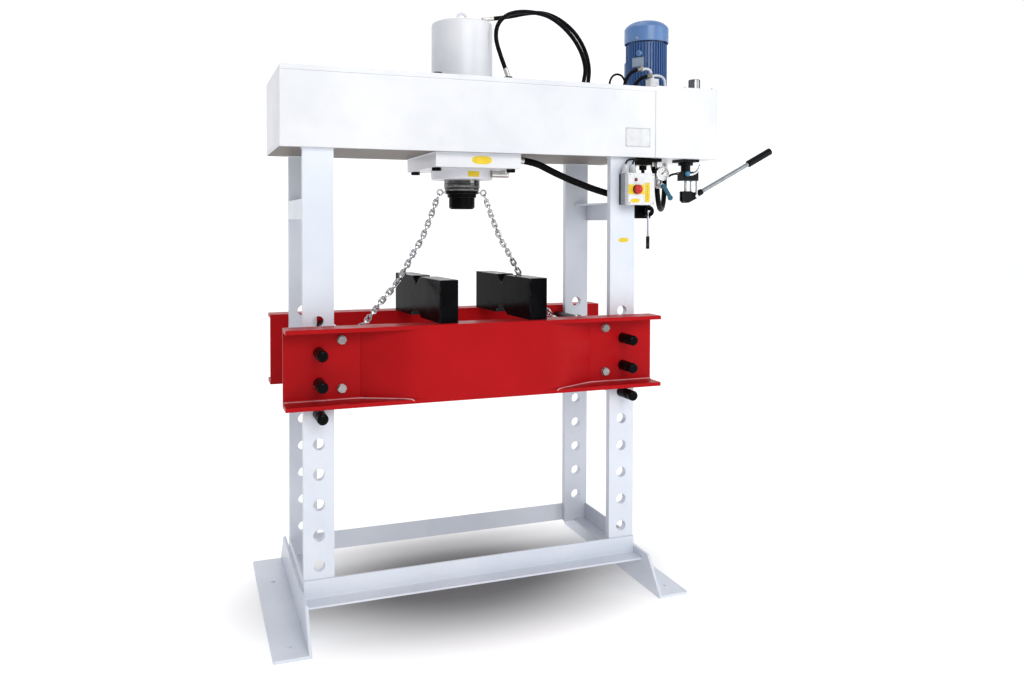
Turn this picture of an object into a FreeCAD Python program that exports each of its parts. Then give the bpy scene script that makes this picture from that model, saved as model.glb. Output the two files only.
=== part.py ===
import FreeCAD, Part
import math
import os

# Workshop hydraulic press: two pairs of drilled flat-bar posts on angle feet, a welded box head
# with the cylinder, a pinned working bed, and a power unit on the right end of the head.
# Millimetres. +X right, +Y to the back, +Z up. Origin: on the floor under the ram's axis.

V = FreeCAD.Vector
X_DIR = V(1, 0, 0)
Y_DIR = V(0, 1, 0)
Z_DIR = V(0, 0, 1)

# ---- frame -------------------------------------------------------------------------------------
POST_X = 667.0            # centre line of each post, left and right of the ram
POST_WIDTH = 120.0
POST_THICK = 30.0
FRAME_HALF_DEPTH = 245.0  # outer face of the posts, front and rear
HOLE_PITCH = 120.0
HOLE_COUNT = 9
FIRST_HOLE_Z = 243.0
HOLE_R = 23.0

FOOT_HALF_LENGTH = 475.0
FOOT_TOP_HALF = 372.0     # where the upright leg starts to taper down
FOOT_LEG = 150.0
FOOT_FLANGE = 140.0
FOOT_THICK = 12.0
ANCHOR_X = POST_X + 133.0
ANCHOR_FRONT_Y = -388.0
ANCHOR_REAR_Y = 215.0
ANCHOR_R = 9.0

RAIL_Z = 112.0            # underside of the base rails
RAIL_LEG = 80.0
RAIL_THICK = 8.0
SIDE_LEG = 70.0           # inward leg of the side rails and braces
BRACE_TOP_Z = 1684.0

# ---- head and cylinder -------------------------------------------------------------------------
HEAD_HALF_X = 815.0
HEAD_HALF_Y = 277.0
HEAD_Z = 1882.0
HEAD_HEIGHT = 312.0
HEAD_PLATE = 20.0
HEAD_LIP = 4.0            # the top plate stands this far proud of the side plates
RIB_X = 330.0

MOUNT_HALF_X = 188.0
MOUNT_HALF_Y = 233.0
MOUNT_HEIGHT = 61.0
MOUNT_BORE_GAP = 1.0

BARREL_R = 135.0
BARREL_BORE_R = 110.0
BARREL_ABOVE_HEAD = 271.0
BARREL_CAP = 30.0
BARREL_EDGE = 12.0
BARREL_HOLE_GAP = 0.5
EYE_ROD_R = 7.0
EYE_BEND_R = 19.0
EYE_LEG = 30.0

GLAND_R = 136.0
GLAND_HEIGHT = 42.0
RUN_FIT = 0.05            # radial clearance of the running fits
RAM_R = 69.0
RAM_SHOWN = 49.0          # rod below the gland with the ram drawn up
PISTON_HEIGHT = 90.0
PISTON_TOP_GAP = 10.0
CLAMP_R = 73.0
CLAMP_HEIGHT = 12.0
COLLAR_R = 64.0
COLLAR_HEIGHT = 16.0
NOSE_R = 57.0
NOSE_HEIGHT = 51.0
NOSE_CHAMFER = 8.0
RING_EYE_X = 101.0
RING_EYE_R = 12.0
RING_EYE_WIRE = 4.0

# ---- bed ---------------------------------------------------------------------------------------
BED_HALF_X = 805.0
BED_Z = 878.0
BED_HEIGHT = 308.0
BED_FLANGE = 100.0
BED_FLANGE_THICK = 16.0
BED_WEB = 10.0
BED_ROOT_R = 10.0
CLOSING_TIP_X = POST_X - 358.0
CLOSING_ROOT_X = POST_X - 162.0
CLOSING_THICK = 8.0
CLOSING_BEND_R = 280.0
TIE_X = POST_X - 89.0
TIE_HEIGHTS = (940.0, 1131.0)
TIE_R = 25.0
TIE_SHANK_R = 10.0
TIE_HOLE_GAP = 0.5
HEX_FLAT = 30.0
HEX_HEIGHT = 12.0
WASHER_R = 18.0
WASHER_THICK = 3.0

PIN_GAP = 1.0             # radial clearance of a pin in its holes
PIN_HOLES = (5, 6, 7)     # post holes that hold a pin, counted from the lowest
PIN_FRONT_Y = -356.0
PIN_REAR_OUT = 20.0       # how far a pin stands out behind the rear beam's web
PIN_WAIST_R = 17.0

BLOCK_WIDTH = 80.0
BLOCK_LENGTH = 590.0
BLOCK_HEIGHT = 174.0
BLOCK_NOTCH = 96.0
BLOCK_NOTCH_DEPTH = 40.0
BLOCK_LOWER_NOTCH = 130.0
BLOCK_LOWER_DEPTH = 45.0
BLOCK_FRONT_Y = -315.0
BLOCK_LEFT_X = -155.0     # centre of the left block's front end
BLOCK_RIGHT_X = 236.0
BLOCK_LEFT_TURN = 4.0
BLOCK_RIGHT_TURN = 3.5

# ---- power unit --------------------------------------------------------------------------------
TANK_LENGTH = 327.0
TANK_CORNER_R = 20.0
TANK_WALL = 5.0
LID_THICK = 6.0
MOTOR_X = HEAD_HALF_X + 150.0
MOTOR_Y = 65.0
MOTOR_FLANGE_R = 106.0
MOTOR_FLANGE_THICK = 14.0
MOTOR_SHELL_R = 88.0
MOTOR_FIN_R = 99.0
MOTOR_BORE_R = 68.0
MOTOR_SHELL_HEIGHT = 246.0
TERMINAL_WIDTH = 96.0
TERMINAL_DEPTH = 42.0
TERMINAL_HEIGHT = 104.0
MOTOR_END_THICK = 12.0
FIN_COUNT = 44
FIN_THICK = 3.5
COWL_R = 106.0
COWL_WALL = 3.0
COWL_HEIGHT = 70.0
COWL_DOME = 34.0
COWL_TOP_R = 50.0
SHAFT_R = 15.0
ROTOR_GAP = 3.0
FAN_R = 82.0
FILLER_X = HEAD_HALF_X + 254.0
FILLER_Y = -190.0
FILLER_R = 27.0
FILLER_HEIGHT = 54.0
FILLER_NECK_R = 20.0

# ---- controls on the front right post ----------------------------------------------------------
BOX_X = POST_X + 46.0
BOX_Z = HEAD_Z - 143.0
BOX_WIDTH = 132.0
BOX_HEIGHT = 138.0
BOX_PAD = 18.0
BOX_DEPTH = 40.0
COVER_DEPTH = 28.0
BUTTON_X = BOX_X - 23.0
BUTTON_Z = BOX_Z - 2.0
BUTTON_R = 20.0
BUTTON_STEM_R = 11.0
BUTTON_OUT = 24.0
BUTTON_TRAVEL = 6.0

VALVE_WIDTH = 88.0
VALVE_DEPTH = 110.0
VALVE_HEIGHT = 118.0
VALVE_Z = HEAD_Z - 270.0
LEVER_X = POST_X + POST_WIDTH / 2 + 63.0
LEVER_Z = VALVE_Z + 32.0
LEVER_BOSS_R = 24.0
LEVER_BOSS_LENGTH = 32.0
LEVER_R = 5.0
LEVER_LENGTH = 162.0

GAUGE_X = HEAD_HALF_X + 46.0
GAUGE_Y = -262.0
GAUGE_Z = HEAD_Z - 69.0
GAUGE_R = 31.5
GAUGE_DEPTH = 28.0
GAUGE_DIAL = 6.0
TEE_Z = GAUGE_Z - 56.0     # the gauge stands on this tee
TEE_R = 12.0
STEM_BACK = 12.0          # gauge stem's centre, forward of the case's back
GAUGE_FEED_Y = -214.0
TAP_LENGTH = 62.0
TAP_ANGLE = -58.0

# ---- hand pump under the tank ------------------------------------------------------------------
PUMP_X = HEAD_HALF_X + 207.0
PUMP_Y = -195.0
PUMP_PLATE_SIDE = 88.0
PUMP_PLATE_THICK = 12.0
PUMP_TOP_R = 34.0
PUMP_TOP_HEIGHT = 14.0
PUMP_NECK_R = 22.0
PUMP_NECK_HEIGHT = 28.0
PUMP_FOOT_X = (-27.0, 53.0)    # lower casting's reach left and right of the pump's axis
PUMP_FOOT_HALF_Y = 26.0
PUMP_FOOT_HEIGHT = 42.0
PLUNGER_R = 6.0
LINK_X = PUMP_X + 44.0
LINK_R = 5.5
PIVOT_Z = HEAD_Z - 166.0
PIVOT_R = 7.0
YOKE_WIDTH = 34.0
YOKE_SLOT = 14.0          # the plunger's flat eye works in this slot
CROSS_PIN_R = 4.0
EYE_SLOT_HALF = 8.0       # the plunger's eye is slotted sideways for the cross pin
EYE_SLOT_HALF_HEIGHT = 4.7
KNOB_X = PUMP_X - 14.0
KNOB_Z = HEAD_Z - 66.0
KNOB_R = 11.0
HANDLE_ANGLE = 27.4       # rise of the handle above level
HANDLE_START = 8.0
HANDLE_LENGTH = 470.0
HANDLE_R = 10.0
GRIP_LENGTH = 138.0
GRIP_R = 16.5

# ---- hoses: outer radius, then each route's points -----------------------------------------------
# The top hoses are measured up from the head's top face. The other three are measured from its
# underside: the loop and gauge hoses out from the head's end, and the lower hose by its share of
# the way from the cylinder mount to the post.
TOP_HOSE_R = 9.5
LOWER_HOSE_R = 15.0
LOOP_HOSE_R = 12.0
GAUGE_HOSE_R = 5.0
TOP_OUTER_ROUTE = [
    (150, 10, 311), (222, 8, 323), (312, 6, 349), (405, 10, 359), (494, 20, 332),
    (574, 35, 280), (630, 48, 206), (655, 58, 126), (650, 62, 68), (646, 62, 32),
]
TOP_INNER_ROUTE = [
    (157, -122, 68), (131, -123, 131), (112, -122, 194), (122, -114, 256), (170, -103, 305),
    (240, -88, 328), (318, -68, 335), (396, -48, 330), (470, -28, 299), (541, -6, 249),
    (594, 14, 186), (620, 27, 118), (612, 32, 64), (606, 32, 32),
]
LOWER_START_OUT = 44.0
LOWER_ROUTE = [
    (0, -150, -21), (0.138, -150, -29), (0.294, -145, -60), (0.46, -142, -89),
    (0.625, -143, -115), (0.791, -146, -139), (0.947, -150, -158), (1.076, -150, -171),
]
LOOP_ROUTE = [
    (38, -192, -34), (42, -192, -50), (53, -192, -80), (58, -192, -132), (81, -165, -192),
    (118, -119, -226), (161, -66, -226), (199, -20, -192), (220, 7, -132), (221, 8, -82),
    (223, 10, -34),
]
GAUGE_ROUTE = [
    (62, -214, -90), (82, -213, -88), (107, -209, -78), (133, -203, -67), (157, -198, -64),
]
CHAIN_WIRE_R = 12.0       # envelope of the chain's links
CHAIN_ROUTE = [           # shares of the way out, and of the height, from tie rod to eye
    (0.151, 0.691), (0.25, 0.555), (0.4, 0.344), (0.551, 0.204), (0.702, 0.052),
    (0.836, -0.022),
]

# ---- worked-out levels -------------------------------------------------------------------------
POST_INNER_Y = FRAME_HALF_DEPTH - POST_THICK
POST_OUTER_X = POST_X + POST_WIDTH / 2
HEAD_TOP_Z = HEAD_Z + HEAD_HEIGHT
SIDE_PLATE_Y = HEAD_HALF_Y - HEAD_LIP
INNER_PLATE_Y = SIDE_PLATE_Y - HEAD_PLATE
MOUNT_Z = HEAD_Z - MOUNT_HEIGHT
GLAND_Z = MOUNT_Z - GLAND_HEIGHT
BARREL_TOP_Z = HEAD_TOP_Z + BARREL_ABOVE_HEAD
ROD_END_Z = GLAND_Z - RAM_SHOWN
CLAMP_Z = ROD_END_Z - CLAMP_HEIGHT
COLLAR_Z = CLAMP_Z - COLLAR_HEIGHT
NOSE_Z = COLLAR_Z - NOSE_HEIGHT
CLAMP_MID_Z = CLAMP_Z + CLAMP_HEIGHT / 2
PISTON_TOP_Z = BARREL_TOP_Z - BARREL_CAP - PISTON_TOP_GAP
BED_TOP_Z = BED_Z + BED_HEIGHT
BED_TIP_Y = FRAME_HALF_DEPTH + BED_FLANGE
CHAIN_TIE_Z = TIE_HEIGHTS[1]
WEB_Y = FRAME_HALF_DEPTH + BED_WEB
PIN_R = HOLE_R - PIN_GAP
TANK_END_X = HEAD_HALF_X + TANK_LENGTH
LID_Z = HEAD_TOP_Z + LID_THICK
MOTOR_SHELL_Z = LID_Z + MOTOR_FLANGE_THICK
MOTOR_SHELL_TOP_Z = MOTOR_SHELL_Z + MOTOR_SHELL_HEIGHT
COWL_TOP_Z = MOTOR_SHELL_TOP_Z + COWL_HEIGHT + COWL_DOME
BOX_BACK_Y = -FRAME_HALF_DEPTH - BOX_PAD
BOX_JOIN_Y = BOX_BACK_Y - BOX_DEPTH
COVER_Y = BOX_JOIN_Y - COVER_DEPTH
TEE_X = GAUGE_X
TEE_Y = GAUGE_Y + GAUGE_DEPTH - STEM_BACK
VALVE_Y = -FRAME_HALF_DEPTH + 10.0
PUMP_PLATE_Z = HEAD_Z - PUMP_PLATE_THICK
PUMP_FOOT_TOP_Z = PUMP_PLATE_Z - PUMP_TOP_HEIGHT - PUMP_NECK_HEIGHT
PUMP_FOOT_Z = PUMP_FOOT_TOP_Z - PUMP_FOOT_HEIGHT
TOP_OUTER_ROUTE = [(x, y, HEAD_TOP_Z + z) for x, y, z in TOP_OUTER_ROUTE]
TOP_INNER_ROUTE = [(x, y, HEAD_TOP_Z + z) for x, y, z in TOP_INNER_ROUTE]
LOWER_START_X = MOUNT_HALF_X + LOWER_START_OUT
LOWER_ROUTE = [
    (LOWER_START_X + share * (POST_X - LOWER_START_X), y, HEAD_Z + z)
    for share, y, z in LOWER_ROUTE
]
LOOP_ROUTE = [(HEAD_HALF_X + x, y, HEAD_Z + z) for x, y, z in LOOP_ROUTE]
GAUGE_ROUTE = [(HEAD_HALF_X + x, y, HEAD_Z + z) for x, y, z in GAUGE_ROUTE]
CHAIN_ROUTE = [
    (
        RING_EYE_X + out * (TIE_X - RING_EYE_X),
        CHAIN_TIE_Z + up * (CLAMP_MID_Z - CHAIN_TIE_Z),
    )
    for out, up in CHAIN_ROUTE
]


def box(x0, x1, y0, y1, z0, z1):
    """A block given by its limits."""
    return Part.makeBox(x1 - x0, y1 - y0, z1 - z0, V(x0, y0, z0))


def rod(radius, start, end):
    """A round bar from one point to another."""
    a = V(*start)
    b = V(*end)
    return Part.makeCylinder(radius, (b - a).Length, a, b - a)


def upright(radius, x, y, z0, z1):
    return rod(radius, (x, y, z0), (x, y, z1))


def prism(points, height):
    """A polygon's face raised along a vector."""
    wire = Part.makePolygon([V(*p) for p in points] + [V(*points[0])])
    return Part.Face(wire).extrude(V(*height))


def hexagon(flat, centre, direction, height):
    """A hexagon head standing on a point, across-flats size given."""
    radius = flat / math.sqrt(3)
    corners = []
    for step in range(6):
        angle = math.radians(60 * step)
        corners.append(V(radius * math.cos(angle), radius * math.sin(angle), 0))
    solid = Part.Face(Part.makePolygon(corners + [corners[0]])).extrude(V(0, 0, height))
    solid.Placement = FreeCAD.Placement(V(*centre), FreeCAD.Rotation(Z_DIR, V(*direction)))
    return solid


def turned(profile, base, axis):
    """A turned piece: (radius, height) points revolved, then set along an axis."""
    points = [V(r, 0, h) for r, h in profile]
    face = Part.Face(Part.makePolygon(points + [points[0]]))
    solid = face.revolve(V(0, 0, 0), Z_DIR, 360)
    solid.Placement = FreeCAD.Placement(V(*base), FreeCAD.Rotation(Z_DIR, V(*axis)))
    return solid


def joined(first, *others):
    return first.fuse(list(others)).removeSplitter()


def mirrored_x(shape):
    return shape.mirror(V(0, 0, 0), X_DIR)


def mirrored_y(shape):
    return shape.mirror(V(0, 0, 0), Y_DIR)


def export(node, *shapes):
    """Write one node; several shapes stay separate solids."""
    shape = shapes[0] if len(shapes) == 1 else Part.makeCompound(list(shapes))
    shape.exportStep("parts/" + node + ".step")


def hose(name, radius, route):
    """A hose as straight runs joined by tangent arcs; prints its length and tightest bend."""
    points = [V(*p) for p in route]
    edges = []
    here = points[0]
    tightest = None
    for before, corner, after in zip(points, points[1:], points[2:]):
        run_in = corner - before
        run_out = after - corner
        turn = run_in.getAngle(run_out)
        bend = 0.45 * min(run_in.Length, run_out.Length) / math.tan(turn / 2)
        cut = bend * math.tan(turn / 2)
        way_in = run_in / run_in.Length
        way_out = run_out / run_out.Length
        start = corner - way_in * cut
        end = corner + way_out * cut
        inward = way_out - way_in
        inward.normalize()
        centre = corner + inward * (bend / math.cos(turn / 2))
        middle = centre - inward * bend
        edges.append(Part.LineSegment(here, start).toShape())
        edges.append(Part.Arc(start, middle, end).toShape())
        here = end
        tightest = bend if tightest is None else min(tightest, bend)
    edges.append(Part.LineSegment(here, points[-1]).toShape())
    path = Part.Wire(edges)
    circle = Part.Wire(Part.makeCircle(radius, points[0], points[1] - points[0]))
    tube = path.makePipeShell([circle], True, False)
    share = tube.Volume / (math.pi * radius**2 * path.Length)
    print(f"{name}: length {path.Length:.0f}, radius {radius}, tightest bend {tightest:.0f}, "
          f"volume share {share:.4f}")
    return tube


# ---- base and posts ----------------------------------------------------------------------------
def make_foot():
    """Right-hand foot: an angle whose upright leg stands against the posts' outer faces."""
    x0 = POST_OUTER_X
    flange = box(x0, x0 + FOOT_FLANGE, -FOOT_HALF_LENGTH, FOOT_HALF_LENGTH, 0, FOOT_THICK)
    leg = prism(
        [
            (x0, -FOOT_HALF_LENGTH, 0),
            (x0, FOOT_HALF_LENGTH, 0),
            (x0, FOOT_HALF_LENGTH, FOOT_THICK),
            (x0, FOOT_TOP_HALF, FOOT_LEG),
            (x0, -FOOT_TOP_HALF, FOOT_LEG),
            (x0, -FOOT_HALF_LENGTH, FOOT_THICK),
        ],
        (FOOT_THICK, 0, 0),
    )
    foot = joined(flange, leg)
    for y in (ANCHOR_FRONT_Y, ANCHOR_REAR_Y):
        foot = foot.cut(upright(ANCHOR_R, ANCHOR_X, y, -1, FOOT_THICK + 1))
    corners = [
        e for e in foot.Edges
        if abs(e.Length - FOOT_THICK) < 0.01 and e.BoundBox.XMin > x0 + FOOT_FLANGE - 1
    ]
    return foot.makeFillet(10.0, corners)


def make_cross_rail():
    """Front base rail: an angle, leg up against the posts, foot forward."""
    x = POST_OUTER_X
    y = -FRAME_HALF_DEPTH
    leg = box(-x, x, y - RAIL_THICK, y, RAIL_Z, RAIL_Z + RAIL_LEG)
    foot = box(-x, x, y - RAIL_LEG, y, RAIL_Z, RAIL_Z + RAIL_THICK)
    rail = joined(leg, foot)
    root = [
        e for e in rail.Edges
        if abs(e.Length - 2 * x) < 0.01
        and abs(e.BoundBox.YMin - (y - RAIL_THICK)) < 0.01
        and abs(e.BoundBox.ZMin - (RAIL_Z + RAIL_THICK)) < 0.01
    ]
    return rail.makeFillet(6.0, root)


def make_side_angle(z_level, leg_z0, leg_z1):
    """An angle between the right-hand posts, one leg upright outside, one leg inward."""
    x = POST_OUTER_X
    y = POST_INNER_Y
    leg = box(x - RAIL_THICK, x, -y, y, leg_z0, leg_z1)
    inward = box(x - SIDE_LEG, x, -y, y, z_level, z_level + RAIL_THICK)
    return joined(leg, inward)


def make_post():
    """Front right post: a flat bar with a row of pin holes."""
    x0 = POST_X - POST_WIDTH / 2
    post = box(x0, x0 + POST_WIDTH, -FRAME_HALF_DEPTH, -POST_INNER_Y, RAIL_Z, HEAD_Z)
    for number in range(HOLE_COUNT):
        z = FIRST_HOLE_Z + number * HOLE_PITCH
        hole = rod(HOLE_R, (POST_X, -FRAME_HALF_DEPTH - 1, z), (POST_X, -POST_INNER_Y + 1, z))
        post = post.cut(hole)
    return post


def build_frame():
    foot = make_foot()
    export("foot_right", foot)
    export("foot_left", mirrored_x(foot))
    rail = make_cross_rail()
    export("base_cross_rails", rail, mirrored_y(rail))
    side = make_side_angle(RAIL_Z, RAIL_Z, RAIL_Z + RAIL_LEG)
    export("base_side_rails", side, mirrored_x(side))
    brace = make_side_angle(BRACE_TOP_Z - RAIL_THICK, BRACE_TOP_Z - RAIL_LEG, BRACE_TOP_Z)
    export("side_braces", brace, mirrored_x(brace))
    post = make_post()
    export("post_front_right", post)
    export("post_front_left", mirrored_x(post))
    export("post_rear_right", mirrored_y(post))
    export("post_rear_left", mirrored_x(mirrored_y(post)))


# ---- head --------------------------------------------------------------------------------------
def build_head():
    x = HEAD_HALF_X
    under_top = HEAD_TOP_Z - HEAD_PLATE
    over_bottom = HEAD_Z + HEAD_PLATE
    barrel_hole = upright(BARREL_R + BARREL_HOLE_GAP, 0, 0, HEAD_Z - 1, HEAD_TOP_Z + 1)
    top = box(-x, x, -HEAD_HALF_Y, HEAD_HALF_Y, under_top, HEAD_TOP_Z)
    export("head_top_plate", top.cut(barrel_hole))
    bottom = box(-x, x, -INNER_PLATE_Y, INNER_PLATE_Y, HEAD_Z, over_bottom)
    export("head_bottom_plate", bottom.cut(barrel_hole))
    front = box(-x, x, -SIDE_PLATE_Y, -INNER_PLATE_Y, HEAD_Z, under_top)
    export("head_front_plate", front)
    export("head_rear_plate", mirrored_y(front))
    ribs = []
    for rib_x in (-x, -RIB_X, RIB_X, x - HEAD_PLATE):
        ribs.append(
            box(rib_x, rib_x + HEAD_PLATE, -INNER_PLATE_Y, INNER_PLATE_Y, over_bottom, under_top)
        )
    export("head_ribs", *ribs)


def make_lifting_eye():
    """A bent round bar standing on the cylinder's cap."""
    z0 = BARREL_TOP_Z - 2
    z1 = z0 + EYE_LEG
    r = EYE_BEND_R
    left = Part.LineSegment(V(-r, 0, z0), V(-r, 0, z1)).toShape()
    over = Part.Arc(V(-r, 0, z1), V(0, 0, z1 + r), V(r, 0, z1)).toShape()
    right = Part.LineSegment(V(r, 0, z1), V(r, 0, z0)).toShape()
    circle = Part.Wire(Part.makeCircle(EYE_ROD_R, V(-r, 0, z0), Z_DIR))
    return Part.Wire([left, over, right]).makePipeShell([circle], True, False)


def build_cylinder():
    mount = box(-MOUNT_HALF_X, MOUNT_HALF_X, -MOUNT_HALF_Y, MOUNT_HALF_Y, MOUNT_Z, HEAD_Z)
    mount = mount.cut(upright(RAM_R + MOUNT_BORE_GAP, 0, 0, MOUNT_Z - 1, HEAD_Z + 1))
    export("cylinder_mount", mount)

    barrel = upright(BARREL_R, 0, 0, HEAD_Z, BARREL_TOP_Z)
    rim = [e for e in barrel.Edges if abs(e.BoundBox.ZMin - BARREL_TOP_Z) < 0.01]
    barrel = barrel.makeFillet(BARREL_EDGE, rim)
    barrel = barrel.cut(upright(BARREL_BORE_R, 0, 0, HEAD_Z - 1, BARREL_TOP_Z - BARREL_CAP))
    export("cylinder_barrel", joined(barrel, make_lifting_eye()))

    gland = upright(GLAND_R, 0, 0, GLAND_Z, MOUNT_Z)
    lower_rim = [
        e for e in gland.Edges
        if abs(e.BoundBox.ZMax - GLAND_Z) < 0.01 and e.BoundBox.XLength > GLAND_R
    ]
    gland = gland.makeFillet(5.0, lower_rim)
    export("gland_ring", gland.cut(upright(RAM_R + RUN_FIT, 0, 0, GLAND_Z - 1, MOUNT_Z + 1)))

    piston_r = BARREL_BORE_R - RUN_FIT
    piston_z = PISTON_TOP_Z - PISTON_HEIGHT
    groove = 3.0
    groove_z = ROD_END_Z + 16.0
    ram = turned(
        [
            (0, ROD_END_Z),
            (RAM_R, ROD_END_Z),
            (RAM_R, groove_z),
            (RAM_R - groove, groove_z),
            (RAM_R - groove, groove_z + groove),
            (RAM_R, groove_z + groove),
            (RAM_R, piston_z),
            (piston_r, piston_z),
            (piston_r, PISTON_TOP_Z),
            (0, PISTON_TOP_Z),
        ],
        (0, 0, 0),
        (0, 0, 1),
    )
    export("ram", ram)
    clamp = upright(CLAMP_R, 0, 0, CLAMP_Z, ROD_END_Z)
    collar = upright(COLLAR_R, 0, 0, COLLAR_Z, CLAMP_Z)
    export("ram_collar", joined(clamp, collar))
    nose = turned(
        [
            (0, NOSE_Z),
            (NOSE_R - NOSE_CHAMFER, NOSE_Z),
            (NOSE_R, NOSE_Z + NOSE_CHAMFER),
            (NOSE_R, COLLAR_Z),
            (0, COLLAR_Z),
        ],
        (0, 0, 0),
        (0, 0, 1),
    )
    export("ram_nose", nose)
    ring = Part.makeTorus(RING_EYE_R, RING_EYE_WIRE, V(RING_EYE_X, 0, CLAMP_MID_Z), Y_DIR)
    shank = rod(
        RING_EYE_WIRE, (CLAMP_R, 0, CLAMP_MID_Z), (RING_EYE_X - RING_EYE_R, 0, CLAMP_MID_Z)
    )
    eye = joined(ring, shank)
    export("ram_eyes", eye, mirrored_x(eye))


def build_frame_bolts():
    """Hexagon bolts round the cylinder, above the head and under its mount."""
    bolts = []
    for x in (-1, 1):
        for y in (-1, 1):
            above = (x * 158.0, y * 158.0, HEAD_TOP_Z)
            below = (x * 166.0, y * 170.0, MOUNT_Z)
            bolts.append(hexagon(36.0, above, (0, 0, 1), 24.0))
            bolts.append(hexagon(36.0, below, (0, 0, -1), 14.0))
    export("frame_bolts", *bolts)


# ---- bed ---------------------------------------------------------------------------------------
def make_bed_beam():
    """Front beam: a channel with its flanges forward, drilled for the pins and tie rods."""
    x = BED_HALF_X
    web = box(-x, x, -WEB_Y, -FRAME_HALF_DEPTH, BED_Z, BED_TOP_Z)
    flanges = []
    for z0 in (BED_Z, BED_TOP_Z - BED_FLANGE_THICK):
        flanges.append(box(-x, x, -BED_TIP_Y, -FRAME_HALF_DEPTH, z0, z0 + BED_FLANGE_THICK))
    beam = joined(web, *flanges)
    inner = (BED_Z + BED_FLANGE_THICK, BED_TOP_Z - BED_FLANGE_THICK)
    roots = [
        e for e in beam.Edges
        if abs(e.Length - 2 * x) < 0.01
        and abs(e.BoundBox.YMin + WEB_Y) < 0.01
        and min(abs(e.BoundBox.ZMin - z) for z in inner) < 0.01
    ]
    beam = beam.makeFillet(BED_ROOT_R, roots)
    for side in (-1, 1):
        for number in PIN_HOLES:
            z = FIRST_HOLE_Z + number * HOLE_PITCH
            if z > BED_Z:
                beam = beam.cut(
                    rod(HOLE_R, (side * POST_X, -WEB_Y - 1, z),
                        (side * POST_X, -FRAME_HALF_DEPTH + 1, z))
                )
        for z in TIE_HEIGHTS:
            beam = beam.cut(
                rod(TIE_SHANK_R + TIE_HOLE_GAP, (side * TIE_X, -WEB_Y - 1, z),
                    (side * TIE_X, -FRAME_HALF_DEPTH + 1, z))
            )
    return beam


def make_closing_plate():
    """The plate that closes the front channel over its middle, bent back to the web."""
    tip_y = -BED_TIP_Y
    root_y = -WEB_Y
    t = CLOSING_THICK
    z0 = BED_Z + BED_FLANGE_THICK
    z1 = BED_TOP_Z - BED_FLANGE_THICK
    slope = math.atan2(root_y - tip_y, CLOSING_ROOT_X - CLOSING_TIP_X)
    shift = t * math.tan(slope / 2)
    reach = t / math.sin(slope)
    outline = [
        (-CLOSING_ROOT_X, root_y, z0),
        (-CLOSING_TIP_X, tip_y, z0),
        (CLOSING_TIP_X, tip_y, z0),
        (CLOSING_ROOT_X, root_y, z0),
        (CLOSING_ROOT_X - reach, root_y, z0),
        (CLOSING_TIP_X - shift, tip_y + t, z0),
        (-CLOSING_TIP_X + shift, tip_y + t, z0),
        (-CLOSING_ROOT_X + reach, root_y, z0),
    ]
    plate = prism(outline, (0, 0, z1 - z0))
    upright_edges = [e for e in plate.Edges if abs(e.Length - (z1 - z0)) < 0.01]
    outer_bends = [e for e in upright_edges if abs(e.BoundBox.YMin - tip_y) < 0.01]
    plate = plate.makeFillet(CLOSING_BEND_R, outer_bends)
    upright_edges = [e for e in plate.Edges if abs(e.Length - (z1 - z0)) < 0.01]
    inner_bends = [
        e for e in upright_edges
        if abs(e.BoundBox.YMin - (tip_y + t)) < 0.01
        and abs(abs(e.BoundBox.XMin) - (CLOSING_TIP_X - shift)) < 0.01
    ]
    plate = plate.makeFillet(CLOSING_BEND_R - t, inner_bends)
    # clear of the channel's rounded roots
    for z in (z0, z1 - BED_ROOT_R):
        plate = plate.cut(
            box(-BED_HALF_X, BED_HALF_X, root_y - BED_ROOT_R, root_y + 1, z, z + BED_ROOT_R)
        )
    return plate


def make_tie_rod(x, z):
    """A spacer bar between the webs, with a bolt head and washer at each end."""
    pieces = [
        rod(TIE_R, (x, -FRAME_HALF_DEPTH, z), (x, FRAME_HALF_DEPTH, z)),
        rod(TIE_SHANK_R, (x, -WEB_Y - WASHER_THICK, z), (x, WEB_Y + WASHER_THICK, z)),
    ]
    for side in (-1, 1):
        seat = side * WEB_Y
        face = side * (WEB_Y + WASHER_THICK)
        pieces.append(rod(WASHER_R, (x, seat, z), (x, face, z)))
        pieces.append(hexagon(HEX_FLAT, (x, face, z), (0, side, 0), HEX_HEIGHT))
    return joined(*pieces)


def make_pin(x, z):
    """A locking pin: a plain bar with a turned waist and a rounded knob at the front."""
    length = WEB_Y + PIN_REAR_OUT - PIN_FRONT_Y
    r = PIN_R
    w = PIN_WAIST_R
    knob = turned(
        [
            (0, 0), (r - 9, 0), (r - 3, 2.5), (r, 8), (r, 30), (r - 2.5, 33), (w, 35), (w, 44),
            (r, 48), (r, length - 6), (r - 6, length), (0, length),
        ],
        (x, PIN_FRONT_Y, z),
        (0, 1, 0),
    )
    return knob


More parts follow.
